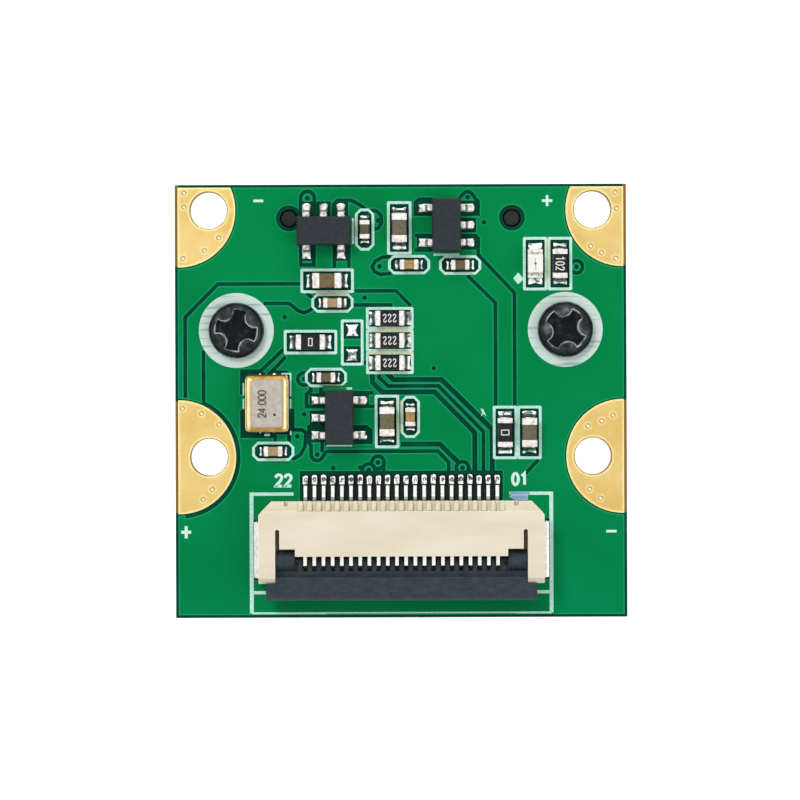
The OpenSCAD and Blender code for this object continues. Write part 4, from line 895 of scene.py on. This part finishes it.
def spare_pad(bm, low, high, seed):
    """Solder on a pad that carries no chip, drawn in at its waist."""
    def height_at(u, v):
        y = 2 * u - 1
        return (0.1 - 0.07 * v * v * (1 - 0.8 * y * y)) * MM * (1 - 0.4 * abs(y) ** 4)

    start = Vector((((low + high) / 2).x, low.y, 0))
    mound(bm, start, REAR, RIGHT, high.y - low.y, (high.x - low.x) / 2, POUR_Z, height_at, seed,
          corner=0, waist=0.34)


def chip_fillets():
    """Fillets that climb the end caps of the chips, and the solder on the spare pads."""
    joints = solids("chip_solder")
    caps = []
    for node, climb in (("large_capacitor_ends", 0.62), ("small_capacitor_ends", 0.7),
                        ("resistor_ends", 0.9), ("led_ends", 0.5)):
        caps += [(low, high, climb) for low, high in solids(node)]
    bm = bmesh.new()
    used = set()
    for seed, (low, high, climb) in enumerate(caps):
        middle = (low + high) / 2
        joint = next(n for n, (a, b) in enumerate(joints)
                     if a.x < middle.x < b.x and a.y < middle.y < b.y)
        used.add(joint)
        cap_fillet(bm, low, high, climb, joints[joint], seed)
    spare = [joint for n, joint in enumerate(joints) if n not in used]
    for seed, (low, high) in enumerate(spare, 900):
        spare_pad(bm, low, high, seed)
    fillets = piece("chip_fillets", bm, tinned, smooth=True)
    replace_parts(fillets, "chip_solder")


def toe_pool(bm, middle, half, start, end, seed):
    """A pool in front of a contact's toe, higher round its rim than at its middle."""
    def height_at(u, v):
        dip = 0.13 * MM * math.exp(-((u - 0.5) / 0.24) ** 2 - ((v - 0.1) / 0.34) ** 2)
        return (0.18 - 0.02 * u) * MM - dip

    mound(bm, Vector((middle.x, start, 0)), REAR, RIGHT, end - start, half, POUR_Z, height_at, seed,
          nu=14, corner=0.22)


def foot_heap(bm, middle, size, seed):
    """A low heap that runs along its pad, and a little past both ends."""
    along = RIGHT if size.x > size.y else REAR
    across = Vector((-along.y, along.x, 0))
    reach = abs(along.dot(size)) + 0.16 * MM

    def height_at(u, v):
        return 0.11 * MM * (1 - abs(v) ** 3) * (1 - abs(2 * u - 1) ** 6)

    mound(bm, middle - along * reach / 2, along, across, reach, abs(across.dot(size)) / 2, POUR_Z,
          height_at, seed, corner=0.15)


def lead_fillets():
    """Solder at the regulators' feet, at the contacts' toes, under the oscillator and on the nails."""
    tail_end = solids("connector_contacts")[0][1].y
    base_low, base_high = node_box("oscillator_base")
    bm = bmesh.new()
    for seed, (low, high) in enumerate(solids("lead_solder")):
        size = high - low
        middle = (low + high) / 2
        if size.x < 0.36 * MM and high.y > tail_end:
            end = high.y - (0.0, 0.07, 0.05, 0.02)[seed % 4] * MM
            toe_pool(bm, middle, size.x / 2 + 0.02 * MM, tail_end + 0.06 * MM, end, seed)
        elif base_low.x < middle.x < base_high.x and base_low.y < middle.y < base_high.y:
            rise = base_low.z - POUR_Z - 0.01 * MM
            mound(bm, Vector((middle.x, low.y, 0)), REAR, RIGHT, size.y, size.x / 2, POUR_Z,
                  lambda u, v: rise, seed, corner=0)
        else:
            foot_heap(bm, middle, size, seed)
    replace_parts(piece("lead_fillets", bm, tinned, smooth=True), "lead_solder")


def oscillator_beads():
    """Beads squeezed out past the oscillator's base: place along x, side, half width and reach."""
    low, high = node_box("oscillator_base")
    middle = (low + high) / 2
    bm = bmesh.new()
    for seed, (x, side, half, reach) in enumerate((
            (-0.37, 1, 0.13, 0.19), (0.41, 1, 0.2, 0.2), (-0.37, -1, 0.11, 0.15), (0.38, -1, 0.12, 0.16))):
        y = (high.y if side > 0 else low.y) - side * 0.03 * MM
        mound(bm, Vector((middle.x + x * MM, y, 0)), side * REAR, side * RIGHT, reach * MM, half * MM,
              POUR_Z, lambda u, v: 0.2 * MM * (1 - u ** 3) * (1 - v * v), seed, nu=8, nv=8, corner=0.8)
    piece("oscillator_beads", bm, tinned, smooth=True)


chip_fillets()
lead_fillets()
oscillator_beads()


# ---- oscillator can

# Rings of the can's rim: share of the way from base to lid, corner in millimetres, share of its height
RIM_RINGS = ((0, 0.26, -0.2), (0, 0.26, 0.3), (0.08, 0.24, 0.42), (0.3, 0.22, 0.46), (0.4, 0.21, 0.62),
             (0.7, 0.18, 0.86), (1.0, 0.15, 1.0))


def oscillator_can():
    """The can's gilt rim and the lid welded on it, with soft corners, and a little inside their CAD nodes."""
    low, high = node_box("oscillator_seal")
    lid_low, lid_high = node_box("oscillator_lid")
    base_low, base_high = node_box("oscillator_base")
    base_low.y += 0.03 * MM
    base_high.y -= 0.09 * MM
    lid_low.x += 0.08 * MM
    lid_high.x -= 0.08 * MM
    lid_high.y -= 0.03 * MM
    rise = high.z - low.z
    bm = bmesh.new()
    bridge(bm, [outline(bm, base_low.lerp(lid_low, share), base_high.lerp(lid_high, share), corner * MM,
                        low.z + level * rise) for share, corner, level in RIM_RINGS])
    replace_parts(piece("oscillator_rim", bm, FINISH["oscillator_seal"]), "oscillator_seal")
    bm = bmesh.new()
    rounded_block(bm, lid_low, lid_high, 0.17 * MM,
                  [(-0.02 * MM, high.z - 0.02 * MM), (-0.02 * MM, high.z + 0.01 * MM),
                   (0, high.z + 0.012 * MM), (0, lid_high.z - 0.03 * MM),
                   (0.012 * MM, lid_high.z - 0.01 * MM), (0.035 * MM, lid_high.z)])
    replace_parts(piece("oscillator_cover", bm, FINISH["oscillator_lid"]), "oscillator_lid")


oscillator_can()


# ---- plating

# Filled vias of the corner pads, from each mounting hole, in millimetres
PAD_VIAS = (
    (-1, 1, ((-1.35, 0.97), (-1.35, 0.2), (0.55, -1.48), (-0.23, -2.18), (-1.4, -2.62))),
    (1, 1, ((1.25, 0.93), (1.32, 0.05), (-0.1, -2), (0.5, -2.37), (1.28, -2.68))),
    (-1, -1, ((-1.47, 2.68), (-0.43, 2.4), (0.53, 1.8), (0.15, -1.75), (-0.35, -2.3))),
    (1, -1, ((1.1, 2.23), (0.48, 1.92), (-0.28, 1.65), (-0.2, -1.8), (0.4, -2.3))))
VIA_RADIUS = 0.13 * MM


def via_plugs():
    """A dished plug in each via of the corner pads."""
    wall = VIA_RADIUS - 0.005 * MM
    foot = POUR_Z - 0.045 * MM
    profile = [(0, foot), (wall, foot), (wall, POUR_Z), (VIA_RADIUS + 0.02 * MM, POUR_Z),
               (VIA_RADIUS - 0.01 * MM, POUR_Z + 0.01 * MM), (VIA_RADIUS * 0.75, POUR_Z + 0.004 * MM),
               (VIA_RADIUS * 0.4, POUR_Z - 0.018 * MM), (0, POUR_Z - 0.026 * MM)]
    bm = bmesh.new()
    for side, level, places in PAD_VIAS:
        hole = (side * MOUNT_HALF_X, MOUNT_MID_Y + level * MOUNT_HALF_Y)
        for x, y in places:
            lathe(bm, (hole[0] + x * MM, hole[1] + y * MM), profile, 20)
    piece("via_plugs", bm, via_metal(), smooth=True)


def hole_plating():
    """Plating on the wall of each mounting hole, with a lip on the pad."""
    wall = HOLE_RADIUS - 0.045 * MM
    lip = HOLE_RADIUS + 0.02 * MM
    profile = [(HOLE_RADIUS, BOARD_LOW.z), (wall, BOARD_LOW.z + 0.1 * MM), (wall, POUR_Z - 0.1 * MM),
               (lip, POUR_Z + 0.004 * MM), (lip, POUR_Z - 0.02 * MM), (HOLE_RADIUS, BOARD_LOW.z)]
    bm = bmesh.new()
    for side in (-1, 1):
        for level in (-1, 1):
            lathe(bm, (side * MOUNT_HALF_X, MOUNT_MID_Y + level * MOUNT_HALF_Y), profile, 64)
    gold = two_tones("plated_wall", ((184, 148, 88), 0.4, 0.6), (2600, 3), (150, 112, 58), (210, 174, 108),
                     (9000, 3, 0.004, 0.3))
    piece("hole_plating", bm, gold)


via_plugs()
hole_plating()


# ---- connector ledge

# Depth of the housing's ledge, and its level
LEDGE_DEPTH = 0.53 * MM
LEDGE_Z = POUR_Z + 1.5 * MM


def ledge_ribs():
    """Rounded ribs that part the contacts where they leave the housing."""
    contacts = solids("connector_contacts")
    first = contacts[0][0].x + contacts[0][1].x
    pitch = contacts[1][0].x - contacts[0][0].x
    bm = bmesh.new()
    for number in range(len(contacts) + 1):
        start = Vector((first / 2 + (number - 0.5) * pitch, HOUSING_REAR - LEDGE_DEPTH, 0))
        mound(bm, start, REAR, RIGHT, LEDGE_DEPTH + 0.05 * MM, 0.155 * MM, LEDGE_Z,
              lambda u, v: 0.045 * MM * (1 - v ** 4) * (1 - 0.3 * u ** 6), 400 + number, nu=10, nv=10,
              corner=0.8)
    piece("ledge_ribs", bm, ledge_plastic(), smooth=True)


ledge_ribs()


# ---- lamp chip

def lamp_details():
    """The emitter seen through the lens, with its bond wires, and the electrodes' edges."""
    low, high = node_box("led_lens")
    middle = (low + high) / 2
    z = high.z - 0.01 * MM
    bm = bmesh.new()
    lathe(bm, (middle.x, middle.y), [(0, z), (0.08 * MM, z), (0.07 * MM, high.z + 0.006 * MM),
                                     (0, high.z + 0.008 * MM)], 12)
    for start, end, width, thick in (((0, 0), (0.02, -0.36), 0.035, 0.014),
                                     ((0, 0.08), (0, 0.3), 0.03, 0.013)):
        wire = [middle.xy + Vector(point) * MM for point in (start, end)]
        ribbon(bm, wire, width * MM, z, thick * MM)
    for side in (-1, 1):
        tip = (high.y - low.y) / 2 + 0.12 * MM
        turns = [math.pi * k / 12 for k in range(13)]
        arc = [Vector((middle.x + 0.2 * MM * math.cos(turn),
                       middle.y + side * (tip - 0.2 * MM * math.sin(turn)))) for turn in turns]
        ribbon(bm, arc, 0.045 * MM, high.z - 0.03 * MM, 0.02 * MM)
    piece("lamp_emitter", bm, marking("lamp_wire", (92, 88, 76), (146, 138, 120)))


lamp_details()


# ---- lens

LENS_HEAD_HEIGHT = 4.6 * MM
THREAD_RADIUS = 6.0 * MM
GROOVE_STEP = 0.25 * MM


def barrel_thread():
    """Fine grooves on the stretch of barrel that shows between the lens head and the holder."""
    holder = node_box("lens_holder")[0].z
    inner = THREAD_RADIUS - 0.02 * MM
    profile = [(inner, LENS_HEAD_HEIGHT)]
    z = LENS_HEAD_HEIGHT
    while z + GROOVE_STEP < holder:
        profile += [(THREAD_RADIUS + 0.045 * MM, z + GROOVE_STEP * 0.5),
                    (THREAD_RADIUS + 0.004 * MM, z + GROOVE_STEP)]
        z += GROOVE_STEP
    profile += [(inner, z), (inner, LENS_HEAD_HEIGHT)]
    bm = bmesh.new()
    lathe(bm, (LENS.x, LENS.y), profile, 96)
    piece("barrel_thread", bm, FINISH["lens_barrel"], body="lens")


barrel_thread()


# ---- camera, light and floor

scene = bpy.context.scene
# Height of the camera above the board, its place over it, and its turn in degrees
VIEW_HEIGHT = 0.27
VIEW_X, VIEW_Y = -0.055 * MM, 0.0465 * MM
VIEW_TURN = -0.2

camera = bpy.data.objects.new("camera", bpy.data.cameras.new("camera"))
scene.collection.objects.link(camera)
camera.data.lens = 222
camera.data.clip_start = 0.01
camera.location = (VIEW_X, VIEW_Y, BOARD_HIGH.z + VIEW_HEIGHT)
camera.rotation_euler = (0, 0, math.radians(VIEW_TURN))
scene.camera = camera


def shown(tree):
    """1 for camera, glossy and transmission rays, which see the background's own white."""
    rays = tree.nodes.new("ShaderNodeLightPath")
    end = rays.outputs["Is Camera Ray"]
    for kind in ("Is Glossy Ray", "Is Transmission Ray"):
        either = tree.nodes.new("ShaderNodeMath")
        either.operation = "MAXIMUM"
        tree.links.new(end, either.inputs[0])
        tree.links.new(rays.outputs[kind], either.inputs[1])
        end = either.outputs[0]
    return end


# Round soft lights, aimed at the middle of the module: place and size in metres, power in watts
LIGHT_AIM = Vector((0, 0, 0.01))
for name, place, size, power in (("light_key", (-0.16, 0.2, 0.34), 0.14, 0.62),
                                 ("light_fill", (0.26, -0.14, 0.24), 0.22, 0.3),
                                 ("light_back", (0.02, 0.36, 0.16), 0.2, 0.2)):
    data = bpy.data.lights.new(name, "AREA")
    data.shape = "DISK"
    data.size = size
    data.energy = power
    light = bpy.data.objects.new(name, data)
    light.location = place
    light.rotation_euler = (LIGHT_AIM - Vector(place)).to_track_quat("-Z", "Y").to_euler()
    scene.collection.objects.link(light)

# White world: full white where it is seen, and less as light
WORLD_LIGHT = 0.58
world = bpy.data.worlds.new("world")
world.use_nodes = True
scene.world = world
tree = world.node_tree
background = tree.nodes["Background"]
strength = tree.nodes.new("ShaderNodeMapRange")
strength.inputs["To Min"].default_value = WORLD_LIGHT
tree.links.new(shown(tree), strength.inputs["Value"])
tree.links.new(strength.outputs["Result"], background.inputs["Strength"])
background.inputs["Color"].default_value = WHITE

# Pale floor: it shows white to the camera, and keeps the module's shadow
FLOOR_GLOW = 0.55
paint = Surface("floor", (0.9, 0.9, 0.9, 1), 0.9, Emission_Color=WHITE)
glow = paint.maths("MULTIPLY", shown(paint.tree), FLOOR_GLOW)
paint.link(glow, paint.shader.inputs["Emission Strength"])

bm = bmesh.new()
bmesh.ops.create_grid(bm, x_segments=4, y_segments=4, size=0.6)
mesh = bpy.data.meshes.new("floor")
bm.to_mesh(mesh)
bm.free()
floor = bpy.data.objects.new("floor", mesh)
floor.location.z = -0.1 * MM
floor.data.materials.append(paint.material)
scene.collection.objects.link(floor)

scene.view_settings.view_transform = "Standard"
